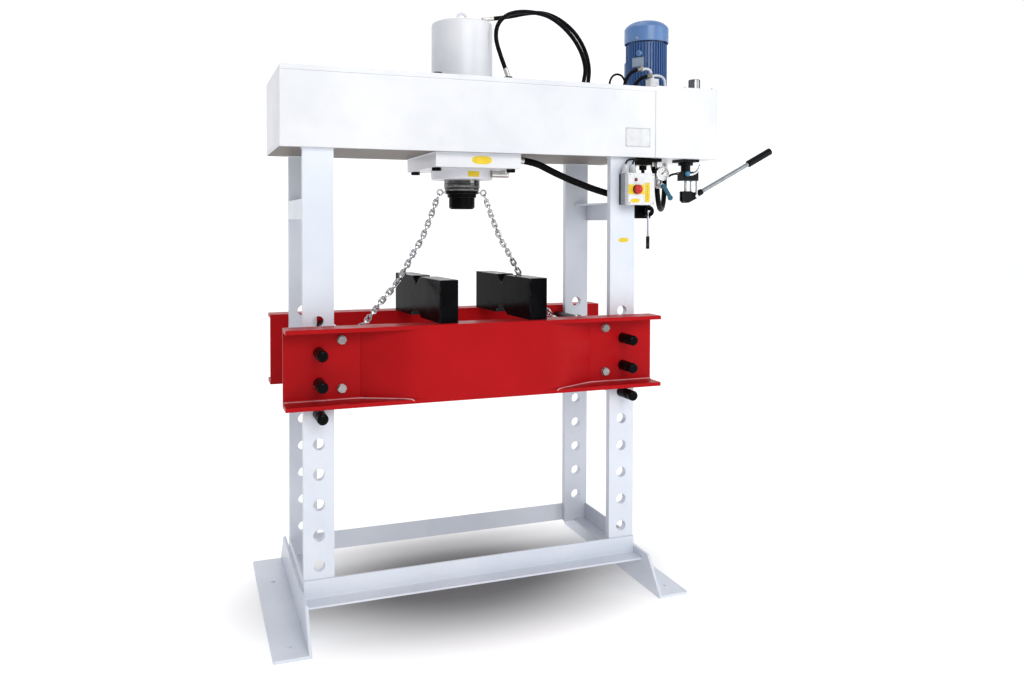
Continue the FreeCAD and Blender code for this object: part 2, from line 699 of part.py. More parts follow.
def make_vee_block(front_x, turn):
    """A steel support block with a vee across its top and a wider one under it."""
    w = BLOCK_WIDTH / 2
    mid = BLOCK_LENGTH / 2
    top = BLOCK_HEIGHT
    n = BLOCK_NOTCH / 2
    m = BLOCK_LOWER_NOTCH / 2
    side = [
        (-w, 0, 0), (-w, mid - m, 0), (-w, mid, BLOCK_LOWER_DEPTH), (-w, mid + m, 0),
        (-w, BLOCK_LENGTH, 0), (-w, BLOCK_LENGTH, top), (-w, mid + n, top),
        (-w, mid, top - BLOCK_NOTCH_DEPTH), (-w, mid - n, top), (-w, 0, top),
    ]
    block = prism(side, (BLOCK_WIDTH, 0, 0))
    ends = [
        e for e in block.Edges
        if abs(e.Length - top) < 0.01 or (
            abs(e.Length - BLOCK_WIDTH) < 0.01
            and abs(e.BoundBox.ZMin - top) < 0.01
            and min(e.BoundBox.YMin, BLOCK_LENGTH - e.BoundBox.YMin) < 0.01
        )
    ]
    block = block.makeFillet(5.0, ends)
    block.Placement = FreeCAD.Placement(
        V(front_x, BLOCK_FRONT_Y, BED_TOP_Z), FreeCAD.Rotation(Z_DIR, turn)
    )
    return block


def build_bed():
    beam = make_bed_beam()
    export("bed_beam_front", beam)
    export("bed_beam_rear", mirrored_y(beam))
    plate = make_closing_plate()
    export("bed_closing_plates", plate, mirrored_y(plate))
    ties = []
    for x in (-TIE_X, TIE_X):
        for z in TIE_HEIGHTS:
            ties.append(make_tie_rod(x, z))
    export("bed_tie_rods", *ties)
    export("vee_block_left", make_vee_block(BLOCK_LEFT_X, BLOCK_LEFT_TURN))
    export("vee_block_right", make_vee_block(BLOCK_RIGHT_X, BLOCK_RIGHT_TURN))
    for side, x in (("left", -POST_X), ("right", POST_X)):
        for place, number in zip(("low", "mid", "high"), PIN_HOLES):
            z = FIRST_HOLE_Z + number * HOLE_PITCH
            export(f"pin_{side}_{place}", make_pin(x, z))


# ---- tank and motor ----------------------------------------------------------------------------
def rounded_block(x0, x1, half_y, z0, z1, corner):
    block = box(x0, x1, -half_y, half_y, z0, z1)
    edges = [
        e for e in block.Edges
        if abs(e.Length - (z1 - z0)) < 0.01 and e.BoundBox.XMin > x1 - 1
    ]
    return block.makeFillet(corner, edges)


def build_tank():
    w = TANK_WALL
    shell = rounded_block(
        HEAD_HALF_X, TANK_END_X, HEAD_HALF_Y, HEAD_Z, HEAD_TOP_Z, TANK_CORNER_R
    )
    inside = rounded_block(
        HEAD_HALF_X + w, TANK_END_X - w, HEAD_HALF_Y - w, HEAD_Z + w, HEAD_TOP_Z + 1,
        TANK_CORNER_R - w,
    )
    export("tank_shell", shell.cut(inside))
    lid = rounded_block(HEAD_HALF_X, TANK_END_X, HEAD_HALF_Y, HEAD_TOP_Z, LID_Z, TANK_CORNER_R)
    lid = lid.cut(upright(SHAFT_R + 5, MOTOR_X, MOTOR_Y, HEAD_TOP_Z - 1, LID_Z + 1))
    lid = lid.cut(
        upright(FILLER_NECK_R + RUN_FIT, FILLER_X, FILLER_Y, HEAD_TOP_Z - 1, LID_Z + 1)
    )
    export("tank_lid", lid)
    cap = upright(FILLER_R, FILLER_X, FILLER_Y, LID_Z, LID_Z + FILLER_HEIGHT)
    cap = cap.makeFillet(4.0, [cap.Edges[0]])
    neck = upright(FILLER_NECK_R, FILLER_X, FILLER_Y, HEAD_TOP_Z - 20, LID_Z + 1)
    export("filler_cap", joined(cap, neck))
    pump = upright(46.0, MOTOR_X, MOTOR_Y, HEAD_TOP_Z - 210, HEAD_TOP_Z - 90)
    lantern = upright(58.0, MOTOR_X, MOTOR_Y, HEAD_TOP_Z - 90, HEAD_TOP_Z)
    lantern = lantern.cut(upright(30.0, MOTOR_X, MOTOR_Y, HEAD_TOP_Z - 80, HEAD_TOP_Z + 1))
    export("hydraulic_pump", joined(pump, lantern))


def build_motor():
    at = (MOTOR_X, MOTOR_Y)
    flange = upright(MOTOR_FLANGE_R, *at, LID_Z, MOTOR_SHELL_Z)
    shell = upright(MOTOR_SHELL_R, *at, MOTOR_SHELL_Z, MOTOR_SHELL_TOP_Z)
    fins = []
    for number in range(FIN_COUNT):
        fin = Part.makeBox(
            MOTOR_FIN_R - MOTOR_SHELL_R + 4, FIN_THICK, MOTOR_SHELL_HEIGHT - 14,
            V(MOTOR_SHELL_R - 4, -FIN_THICK / 2, 0),
        )
        fin.rotate(V(0, 0, 0), Z_DIR, 360.0 * number / FIN_COUNT)
        fin.translate(V(*at, MOTOR_SHELL_Z + 7))
        fins.append(fin)
    terminal_y = MOTOR_Y + MOTOR_SHELL_R - 16
    terminal = box(
        MOTOR_X - TERMINAL_WIDTH / 2, MOTOR_X + TERMINAL_WIDTH / 2,
        terminal_y, terminal_y + TERMINAL_DEPTH + 16,
        MOTOR_SHELL_Z + 70, MOTOR_SHELL_Z + 70 + TERMINAL_HEIGHT,
    )
    cavity = upright(
        MOTOR_BORE_R, *at, MOTOR_SHELL_Z + MOTOR_END_THICK, MOTOR_SHELL_TOP_Z - MOTOR_END_THICK
    )
    bore = upright(SHAFT_R + RUN_FIT, *at, LID_Z - 1, MOTOR_SHELL_TOP_Z + 1)
    frame = joined(flange, shell, terminal, *fins).cut(cavity).cut(bore)
    export("motor_frame", frame)

    h = COWL_HEIGHT
    d = COWL_DOME
    w = COWL_WALL
    cowl = turned(
        [
            (COWL_R - w, 0), (COWL_R, 0), (COWL_R, h), (COWL_R - 6, h + 0.3 * d),
            (COWL_R - 20, h + 0.66 * d), (COWL_R - 38, h + 0.92 * d), (COWL_TOP_R, h + d),
            (20, h + d), (20, h + d - w), (COWL_TOP_R, h + d - w),
            (COWL_R - 39, h + 0.92 * d - w), (COWL_R - 21, h + 0.66 * d - w),
            (COWL_R - 6 - w, h + 0.3 * d - w), (COWL_R - w, h - w),
        ],
        (*at, MOTOR_SHELL_TOP_Z),
        (0, 0, 1),
    )
    hub = upright(22.0, *at, COWL_TOP_Z - w, COWL_TOP_Z)
    spider = box(
        MOTOR_X - COWL_R + 1, MOTOR_X + COWL_R - 1, MOTOR_Y - 5, MOTOR_Y + 5,
        MOTOR_SHELL_TOP_Z, MOTOR_SHELL_TOP_Z + 3,
    ).cut(upright(SHAFT_R + 4, *at, MOTOR_SHELL_TOP_Z - 1, MOTOR_SHELL_TOP_Z + 4))
    export("motor_cowl", joined(cowl, hub, spider))

    rotor_r = MOTOR_BORE_R - ROTOR_GAP
    shaft = upright(SHAFT_R, *at, HEAD_TOP_Z - 70, MOTOR_SHELL_TOP_Z + 50)
    core = upright(
        rotor_r, *at, MOTOR_SHELL_Z + MOTOR_END_THICK + 15,
        MOTOR_SHELL_TOP_Z - MOTOR_END_THICK - 15,
    )
    fan = upright(FAN_R, *at, MOTOR_SHELL_TOP_Z + 14, MOTOR_SHELL_TOP_Z + 20)
    blades = []
    for number in range(8):
        blade = Part.makeBox(FAN_R - SHAFT_R - 2, 3, 24, V(SHAFT_R - 2, -1.5, 0))
        blade.rotate(V(0, 0, 0), Z_DIR, 45.0 * number)
        blade.translate(V(*at, MOTOR_SHELL_TOP_Z + 20))
        blades.append(blade)
    export("motor_rotor", joined(shaft, core, fan, *blades))


# ---- controls ----------------------------------------------------------------------------------
def build_controls():
    x0 = BOX_X - BOX_WIDTH / 2
    x1 = BOX_X + BOX_WIDTH / 2
    z0 = BOX_Z - BOX_HEIGHT / 2
    z1 = BOX_Z + BOX_HEIGHT / 2
    pad = box(x0 + 2, x1 - 2, BOX_BACK_Y, -FRAME_HALF_DEPTH, z0 + 2, z1 - 2)
    body = box(x0, x1, BOX_JOIN_Y, BOX_BACK_Y, z0, z1)
    glands = []
    for gland_x in (BOX_X - 53, BOX_X - 18):
        y = (BOX_BACK_Y + BOX_JOIN_Y) / 2
        glands.append(upright(11.0, gland_x, y, z1, z1 + 20))
    export("control_box_back", joined(pad, body, *glands))
    cover = box(x0, x1, COVER_Y, BOX_JOIN_Y, z0, z1)
    front_edges = [
        e for e in cover.Edges
        if abs(e.BoundBox.YMax - COVER_Y) < 0.01 or abs(e.Length - COVER_DEPTH) < 0.01
    ]
    cover = cover.makeFillet(5.0, front_edges)
    well_r = BUTTON_STEM_R + 0.3
    well = rod(well_r, (BUTTON_X, COVER_Y - 1, BUTTON_Z), (BUTTON_X, BOX_JOIN_Y - 8, BUTTON_Z))
    export("control_box_cover", cover.cut(well))
    button = turned(
        [
            (0, 0), (12, 1.2), (17, 4), (BUTTON_R, 9), (BUTTON_R, 12), (BUTTON_STEM_R, 16),
            (BUTTON_STEM_R, BUTTON_OUT + 8), (0, BUTTON_OUT + 8),
        ],
        (BUTTON_X, COVER_Y - BUTTON_OUT, BUTTON_Z),
        (0, 1, 0),
    )
    export("emergency_button", button)


def make_valve_body():
    x0 = POST_OUTER_X
    return box(
        x0, x0 + VALVE_WIDTH, VALVE_Y, VALVE_Y + VALVE_DEPTH, VALVE_Z, VALVE_Z + VALVE_HEIGHT
    )


def build_valve():
    x0 = POST_OUTER_X
    y0 = VALVE_Y
    z1 = VALVE_Z + VALVE_HEIGHT
    block = make_valve_body()
    riser = upright(9.0, x0 + 34, y0 + 55, z1, HEAD_Z)
    nut = hexagon(30.0, (x0 + 34, y0 + 55, z1), (0, 0, 1), 18.0)
    top_nut = hexagon(30.0, (x0 + 34, y0 + 55, HEAD_Z), (0, 0, -1), 18.0)
    boss = rod(
        LEVER_BOSS_R, (LEVER_X, y0, LEVER_Z), (LEVER_X, y0 - LEVER_BOSS_LENGTH, LEVER_Z)
    )
    slot = box(
        LEVER_X - 8, LEVER_X + 8, y0 - LEVER_BOSS_LENGTH - 1, y0 - 3,
        LEVER_Z - LEVER_BOSS_R - 1, LEVER_Z + 15,
    )
    export("valve_block", joined(block, riser, nut, top_nut, boss).cut(slot))
    pivot_y = y0 - LEVER_BOSS_LENGTH / 2 - 3
    ball = rod(9.0, (LEVER_X - 7.5, pivot_y, LEVER_Z), (LEVER_X + 7.5, pivot_y, LEVER_Z))
    bar = rod(LEVER_R, (LEVER_X, pivot_y, LEVER_Z), (LEVER_X, pivot_y, LEVER_Z - LEVER_LENGTH))
    knob = rod(
        8.0, (LEVER_X, pivot_y, LEVER_Z - LEVER_LENGTH + 50),
        (LEVER_X, pivot_y, LEVER_Z - LEVER_LENGTH - 6),
    )
    export("valve_lever", joined(ball, bar, knob))


def make_tee_bar():
    return rod(TEE_R, (TEE_X, TEE_Y - TEE_R, TEE_Z), (TEE_X, TEE_Y + TEE_R, TEE_Z))


def build_gauge():
    case = turned(
        [
            (0, GAUGE_DIAL), (GAUGE_R - 4, GAUGE_DIAL), (GAUGE_R - 4, 0), (GAUGE_R, 0),
            (GAUGE_R, GAUGE_DEPTH - 4), (GAUGE_R - 4, GAUGE_DEPTH), (0, GAUGE_DEPTH),
        ],
        (GAUGE_X, GAUGE_Y, GAUGE_Z),
        (0, 1, 0),
    )
    stem = upright(6.0, TEE_X, TEE_Y, TEE_Z, GAUGE_Z - GAUGE_R + 3).cut(make_tee_bar())
    export("gauge_case", joined(case, stem))
    hub = rod(3.5, (GAUGE_X, GAUGE_Y + 1, GAUGE_Z), (GAUGE_X, GAUGE_Y + GAUGE_DIAL, GAUGE_Z))
    hand = box(
        GAUGE_X - 1.2, GAUGE_X + 1.2, GAUGE_Y + 2, GAUGE_Y + 3.5, GAUGE_Z - 8, GAUGE_Z + 22
    )
    hand.rotate(V(GAUGE_X, GAUGE_Y, GAUGE_Z), Y_DIR, 45)
    export("gauge_needle", joined(hub, hand))
    spindle_y = TEE_Y - TEE_R
    ear = box(0, TAP_LENGTH, spindle_y - 16, spindle_y - 11, -9, 9)
    hub = rod(9.0, (0, spindle_y - 16, 0), (0, spindle_y - 0.3, 0))
    end = rod(12.0, (TAP_LENGTH, spindle_y - 16, 0), (TAP_LENGTH, spindle_y - 11, 0))
    tap = joined(ear, hub, end)
    tap.rotate(V(0, 0, 0), Y_DIR, -TAP_ANGLE)
    tap.translate(V(TEE_X, 0, TEE_Z))
    export("shutoff_handle", tap)


# ---- hand pump ---------------------------------------------------------------------------------
def make_pump_foot():
    """The hand pump's lower casting."""
    return box(
        PUMP_X + PUMP_FOOT_X[0], PUMP_X + PUMP_FOOT_X[1],
        PUMP_Y - PUMP_FOOT_HALF_Y, PUMP_Y + PUMP_FOOT_HALF_Y, PUMP_FOOT_Z, PUMP_FOOT_TOP_Z,
    )


def build_hand_pump():
    half_side = PUMP_PLATE_SIDE / 2
    plate = box(
        PUMP_X - half_side, PUMP_X + half_side, PUMP_Y - half_side, PUMP_Y + half_side,
        PUMP_PLATE_Z, HEAD_Z,
    )
    flange = upright(PUMP_TOP_R, PUMP_X, PUMP_Y, PUMP_PLATE_Z - PUMP_TOP_HEIGHT, PUMP_PLATE_Z)
    neck = upright(PUMP_NECK_R, PUMP_X, PUMP_Y, PUMP_FOOT_TOP_Z, PUMP_PLATE_Z)
    reach = YOKE_WIDTH / 2 + 6
    links = []
    for y in (PUMP_Y - reach, PUMP_Y + reach):
        links.append(rod(LINK_R, (LINK_X, y, PUMP_FOOT_Z + 1), (LINK_X, y, PIVOT_Z)))
    pin = rod(
        PIVOT_R, (LINK_X, PUMP_Y - reach - LINK_R, PIVOT_Z),
        (LINK_X, PUMP_Y + reach + LINK_R, PIVOT_Z),
    )
    body = joined(plate, flange, neck, make_pump_foot(), pin, *links)
    well = upright(PLUNGER_R + RUN_FIT, PUMP_X, PUMP_Y, PUMP_FOOT_Z - 1, PUMP_FOOT_TOP_Z + 20)
    knob_face = PUMP_Y - PUMP_FOOT_HALF_Y
    spindle = rod(6.0, (KNOB_X, knob_face - 6, KNOB_Z), (KNOB_X, knob_face + 2, KNOB_Z))
    export("hand_pump_body", joined(body.cut(well), spindle))
    yoke_top = PIVOT_Z + 22
    half = YOKE_WIDTH / 2
    eye = box(PUMP_X - 11, PUMP_X + 11, PUMP_Y - 6, PUMP_Y + 6, PIVOT_Z - 12, PIVOT_Z + 12)
    eye_slot = box(
        PUMP_X - EYE_SLOT_HALF, PUMP_X + EYE_SLOT_HALF, PUMP_Y - half, PUMP_Y + half,
        PIVOT_Z - EYE_SLOT_HALF_HEIGHT, PIVOT_Z + EYE_SLOT_HALF_HEIGHT,
    )
    plunger = upright(PLUNGER_R, PUMP_X, PUMP_Y, PIVOT_Z + 11, PUMP_FOOT_TOP_Z - 8)
    export("hand_pump_plunger", joined(plunger, eye).cut(eye_slot))

    x0 = PUMP_X - 20
    y0 = PUMP_Y - half
    yoke = prism(
        [
            (x0, y0, yoke_top), (x0, y0, PIVOT_Z - 22), (x0 + 14, y0, PIVOT_Z - 32),
            (x0 + 30, y0, PIVOT_Z - 30), (LINK_X + 8, y0, PIVOT_Z - 10),
            (LINK_X + 12, y0, PIVOT_Z + 4), (LINK_X + 4, y0, PIVOT_Z + 13),
            (x0 + 38, y0, yoke_top),
        ],
        (0, YOKE_WIDTH, 0),
    )
    bore = rod(
        PIVOT_R + RUN_FIT, (LINK_X, y0 - 1, PIVOT_Z), (LINK_X, y0 + YOKE_WIDTH + 1, PIVOT_Z)
    )
    rise = math.radians(HANDLE_ANGLE)
    way = V(math.cos(rise), 0, math.sin(rise))
    pivot = V(LINK_X, PUMP_Y, PIVOT_Z)
    start = pivot + way * HANDLE_START
    end = pivot + way * HANDLE_LENGTH
    tube = Part.makeCylinder(HANDLE_R, HANDLE_LENGTH - HANDLE_START, start, way)
    grip = Part.makeCylinder(GRIP_R, GRIP_LENGTH, end - way * (GRIP_LENGTH - 8), way)
    socket = Part.makeCylinder(HANDLE_R + 4, 40, start, way)
    slot = box(
        x0 - 1, PUMP_X + 18, PUMP_Y - YOKE_SLOT / 2, PUMP_Y + YOKE_SLOT / 2,
        PIVOT_Z - 40, yoke_top + 1,
    )
    cross_pin = rod(CROSS_PIN_R, (PUMP_X, y0, PIVOT_Z), (PUMP_X, y0 + YOKE_WIDTH, PIVOT_Z))
    lever = joined(yoke, socket, tube, grip).cut(bore).cut(slot)
    export("hand_pump_lever", joined(lever, cross_pin))
    knob_y = knob_face - 6.3
    knob = rod(KNOB_R, (KNOB_X, knob_y, KNOB_Z), (KNOB_X, knob_y - 15, KNOB_Z))
    arm = [
        (KNOB_X, knob_y - 8, KNOB_Z), (KNOB_X + 36, knob_y - 8, KNOB_Z + 8),
        (KNOB_X + 60, knob_y - 8, KNOB_Z + 28), (KNOB_X + 68, knob_y - 8, KNOB_Z + 46),
    ]
    pieces = [rod(4.0, a, b) for a, b in zip(arm, arm[1:])]
    pieces += [Part.makeSphere(4.2, V(*p)) for p in arm[1:]]
    export("release_knob", joined(knob, *pieces))


# ---- hoses, fittings and chains ----------------------------------------------------------------
def ferrule(route, radius, length):
    """A sleeve in line with a hose's first run, meeting its end face; also its far end."""
    start = V(*route[0])
    away = start - V(*route[1])
    away.normalize()
    return Part.makeCylinder(radius, length, start, away), start + away * length


def hose_stub(route, radius, length, plate_z):
    """A hose end's sleeve turned upright into a plate."""
    sleeve, end = ferrule(route, radius, length)
    post = rod(radius - 0.5, (end.x, end.y, end.z), (end.x, end.y, plate_z))
    return joined(sleeve, post, Part.makeSphere(radius + 0.5, end))


def build_fittings():
    """Pipe ends that the hoses meet face to face."""
    pieces = [
        hose_stub(TOP_OUTER_ROUTE, TOP_HOSE_R + 1.5, 46.0, BARREL_TOP_Z),
        hose_stub(TOP_INNER_ROUTE, TOP_HOSE_R + 1.5, 40.0, HEAD_TOP_Z),
        hose_stub(TOP_OUTER_ROUTE[::-1], TOP_HOSE_R + 1.5, 14.0, HEAD_TOP_Z),
        hose_stub(TOP_INNER_ROUTE[::-1], TOP_HOSE_R + 1.5, 14.0, HEAD_TOP_Z),
        hose_stub(LOWER_ROUTE, LOWER_HOSE_R + 1.5, 26.0, HEAD_Z),
        hose_stub(LOOP_ROUTE, LOOP_HOSE_R + 1.5, 17.0, HEAD_Z),
        hose_stub(LOOP_ROUTE[::-1], LOOP_HOSE_R + 1.5, 17.0, HEAD_Z),
    ]
    sleeve, end = ferrule(LOWER_ROUTE[::-1], LOWER_HOSE_R + 1.5, 40.0)
    pieces.append(sleeve.cut(make_valve_body()))
    sleeve, end = ferrule(GAUGE_ROUTE, GAUGE_HOSE_R + 1, 15.0)
    feed = joined(
        make_tee_bar(),
        sleeve,
        rod(8.0, (TEE_X, TEE_Y + 6, TEE_Z), (TEE_X, GAUGE_FEED_Y, TEE_Z)),
        Part.makeSphere(9.0, V(TEE_X, GAUGE_FEED_Y, TEE_Z)),
        upright(8.0, TEE_X, GAUGE_FEED_Y, TEE_Z, HEAD_Z),
    )
    pieces.append(feed)
    sleeve, end = ferrule(GAUGE_ROUTE[::-1], GAUGE_HOSE_R + 1, 32.0)
    pieces.append(sleeve.cut(make_pump_foot()))

    port_y = -90.0
    port_z = GLAND_Z + 24
    elbow = joined(
        rod(15.0, (GLAND_R - 30, port_y, port_z), (GLAND_R + 48, port_y, port_z)),
        rod(14.0, (GLAND_R + 30, port_y, port_z), (GLAND_R + 30, port_y, MOUNT_Z)),
    ).cut(upright(GLAND_R, 0, 0, GLAND_Z - 1, MOUNT_Z + 1))
    pieces.append(elbow)
    export("hose_fittings", *pieces)


def make_chain(side):
    """The envelope of one lift chain, hanging from the collar's eye to its tie rod."""
    eye = V(side * RING_EYE_X, 0, CLAMP_MID_Z)
    points = [V(side * x, 0, z) for x, z in CHAIN_ROUTE]
    way = points[0] - eye
    way.normalize()
    points.insert(0, eye + way * (RING_EYE_R + RING_EYE_WIRE))
    points.append(V(side * TIE_X, 0, CHAIN_TIE_Z))
    pieces = []
    for a, b in zip(points, points[1:]):
        pieces.append(Part.makeCylinder(CHAIN_WIRE_R, (b - a).Length, a, b - a))
    for point in points[1:-1]:
        pieces.append(Part.makeSphere(CHAIN_WIRE_R + 0.2, point))
    tie = rod(
        TIE_R, (side * TIE_X, -FRAME_HALF_DEPTH, CHAIN_TIE_Z),
        (side * TIE_X, FRAME_HALF_DEPTH, CHAIN_TIE_Z),
    )
    return joined(*pieces).cut(tie)


def build_hoses():
    export("hose_top_outer", hose("hose_top_outer", TOP_HOSE_R, TOP_OUTER_ROUTE))
    export("hose_top_inner", hose("hose_top_inner", TOP_HOSE_R, TOP_INNER_ROUTE))
    export("hose_lower", hose("hose_lower", LOWER_HOSE_R, LOWER_ROUTE))
    export("hose_loop", hose("hose_loop", LOOP_HOSE_R, LOOP_ROUTE))
    export("hose_gauge", hose("hose_gauge", GAUGE_HOSE_R, GAUGE_ROUTE))
    export("lifting_chains", make_chain(-1), make_chain(1))


os.makedirs("parts", exist_ok=True)
build_frame()
build_head()
build_cylinder()
build_frame_bolts()
build_bed()
build_tank()
build_motor()
build_controls()
build_valve()
build_gauge()
build_hand_pump()
build_fittings()
build_hoses()
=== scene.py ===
import bpy
import bmesh
import math
import random
from mathutils import Matrix, Vector


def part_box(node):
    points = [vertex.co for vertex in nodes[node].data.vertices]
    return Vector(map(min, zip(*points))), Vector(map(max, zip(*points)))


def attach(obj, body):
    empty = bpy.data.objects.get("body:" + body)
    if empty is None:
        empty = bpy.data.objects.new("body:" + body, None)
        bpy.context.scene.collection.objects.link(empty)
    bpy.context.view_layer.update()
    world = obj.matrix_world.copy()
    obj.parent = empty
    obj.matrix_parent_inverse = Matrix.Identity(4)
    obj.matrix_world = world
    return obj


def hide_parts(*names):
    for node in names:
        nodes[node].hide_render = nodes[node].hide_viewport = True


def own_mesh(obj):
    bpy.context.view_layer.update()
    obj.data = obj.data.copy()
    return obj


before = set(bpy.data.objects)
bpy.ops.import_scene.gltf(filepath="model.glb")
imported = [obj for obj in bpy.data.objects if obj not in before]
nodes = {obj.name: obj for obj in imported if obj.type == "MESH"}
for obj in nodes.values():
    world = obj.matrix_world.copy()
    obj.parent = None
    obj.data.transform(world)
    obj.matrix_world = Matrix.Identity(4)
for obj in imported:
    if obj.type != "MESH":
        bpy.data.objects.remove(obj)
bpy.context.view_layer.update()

# ---- Stage: camera, floor, backdrop and soft studio light ----
scene = bpy.context.scene
scene.view_settings.view_transform = "Standard"
scene.view_settings.look = "None"
scene.view_settings.exposure = 0.0

# the camera that fits the picture: metres, degrees, and the lens on a full-frame sensor
CAMERA_PLACE = (-1.1526, -3.5271, 1.5889)
CAMERA_YAW = 19.680
CAMERA_PITCH = 1.3248
CAMERA_ROLL = 0.0905
CAMERA_LENS = 29.42
CAMERA_SHIFT = (0.02644, -0.09653)

# the paper sweep, in metres: floor from front to back, its bend, and the wall above
SWEEP_X = (-16.0, 20.0)
SWEEP_FRONT = -9.0
SWEEP_BACK = 5.0
SWEEP_BEND_R = 2.5
SWEEP_TOP = 12.0
SWEEP_DROP = 0.0005
BEND_STEPS = 12


def make_camera():
    cam_data = bpy.data.cameras.new("camera")
    cam_data.lens = CAMERA_LENS
    cam_data.sensor_width = 36.0
    cam_data.shift_x, cam_data.shift_y = CAMERA_SHIFT
    cam_data.clip_start = 0.05
    cam_data.clip_end = 60.0
    cam = bpy.data.objects.new("camera", cam_data)
    scene.collection.objects.link(cam)
    turn = (
        Matrix.Rotation(-math.radians(CAMERA_YAW), 4, "Z")
        @ Matrix.Rotation(math.pi / 2 - math.radians(CAMERA_PITCH), 4, "X")
        @ Matrix.Rotation(math.radians(CAMERA_ROLL), 4, "Z")
    )
    cam.matrix_world = Matrix.Translation(CAMERA_PLACE) @ turn
    scene.camera = cam


def floor_material():
    """White paper sweep with a painted shadow: its colour and its glow darken under the press and
    run out to pure white.
    """
    m = bpy.data.materials.new("floor_painted_shadow")
    m.use_nodes = True
    tree = m.node_tree
    b = tree.nodes["Principled BSDF"]
    b.inputs["Roughness"].default_value = 0.8
    b.inputs["Specular IOR Level"].default_value = 0.1
    b.inputs["Emission Color"].default_value = (1, 1, 1, 1)
    where = tree.nodes.new("ShaderNodeTexCoord")
    under = tree.nodes.new("ShaderNodeMapping")
    under.inputs["Scale"].default_value = (0.80, 1.25, 1.0)
    tree.links.new(where.outputs["Object"], under.inputs["Vector"])
    near = tree.nodes.new("ShaderNodeVectorMath")
    near.operation = "LENGTH"
    tree.links.new(under.outputs["Vector"], near.inputs[0])
    shade = tree.nodes.new("ShaderNodeMapRange")
    shade.interpolation_type = "SMOOTHSTEP"
    shade.inputs["From Min"].default_value = 0.22
    shade.inputs["From Max"].default_value = 0.99
    tree.links.new(near.outputs["Value"], shade.inputs["Value"])
    # painted shadow: the floor's colour is dark grey under the press and white further out
    tone = tree.nodes.new("ShaderNodeMix")
    tone.data_type = "RGBA"
    tone.inputs["A"].default_value = (0.19, 0.19, 0.193, 1)
    tone.inputs["B"].default_value = (0.80, 0.80, 0.80, 1)
    tree.links.new(shade.outputs["Result"], tone.inputs["Factor"])
    tree.links.new(tone.outputs["Result"], b.inputs["Base Color"])
    # the sweep glows, but less under the press, which is part of the painted shadow
    glow = tree.nodes.new("ShaderNodeMapRange")
    glow.inputs["To Min"].default_value = 0.03
    glow.inputs["To Max"].default_value = 0.52
    tree.links.new(shade.outputs["Result"], glow.inputs["Value"])
    tree.links.new(glow.outputs["Result"], b.inputs["Emission Strength"])
    return m


def make_stage():
    bm = bmesh.new()
    profile = [(SWEEP_FRONT, 0.0), (SWEEP_BACK, 0.0)]
    for step in range(1, BEND_STEPS + 1):
        a = math.pi / 2 * step / BEND_STEPS
        profile.append(
            (SWEEP_BACK + SWEEP_BEND_R * math.sin(a), SWEEP_BEND_R - SWEEP_BEND_R * math.cos(a))
        )
    profile.append((SWEEP_BACK + SWEEP_BEND_R, SWEEP_TOP))
    rows = [[bm.verts.new((x, y, z - SWEEP_DROP)) for y, z in profile] for x in SWEEP_X]
    for i in range(len(profile) - 1):
        bm.faces.new((rows[0][i], rows[1][i], rows[1][i + 1], rows[0][i + 1]))
    mesh = bpy.data.meshes.new("floor")
    bm.to_mesh(mesh)
    bm.free()
    for p in mesh.polygons:
        p.use_smooth = True
    floor = bpy.data.objects.new("floor", mesh)
    scene.collection.objects.link(floor)
    floor.data.materials.append(floor_material())


def area_light(name, place, aim, size, power, color=(1, 1, 1)):
    data = bpy.data.lights.new(name, "AREA")
    data.shape = "RECTANGLE"
    data.size, data.size_y = size
    data.energy = power
    data.color = color
    lamp = bpy.data.objects.new(name, data)
    scene.collection.objects.link(lamp)
    lamp.location = place
    lamp.rotation_euler = (Vector(aim) - Vector(place)).to_track_quat("-Z", "Y").to_euler()


def make_lights():
    world = bpy.data.worlds.new("world")
    world.use_nodes = True
    back = world.node_tree.nodes["Background"]
    back.inputs["Color"].default_value = (0.90, 0.93, 1.0, 1)
    back.inputs["Strength"].default_value = 0.44
    scene.world = world
    area_light("key", (0.2, -6.8, 4.4), (0, 0, 1.7), (4.0, 3.0), 225, (1.0, 0.98, 0.95))
    area_light("fill", (5.0, -4.0, 3.0), (0, 0, 1.3), (3.0, 3.0), 76, (0.94, 0.97, 1.0))
    area_light("top", (0.0, 0.5, 6.5), (0, 0, 1.0), (3.0, 3.0), 60)


make_camera()
make_stage()
make_lights()


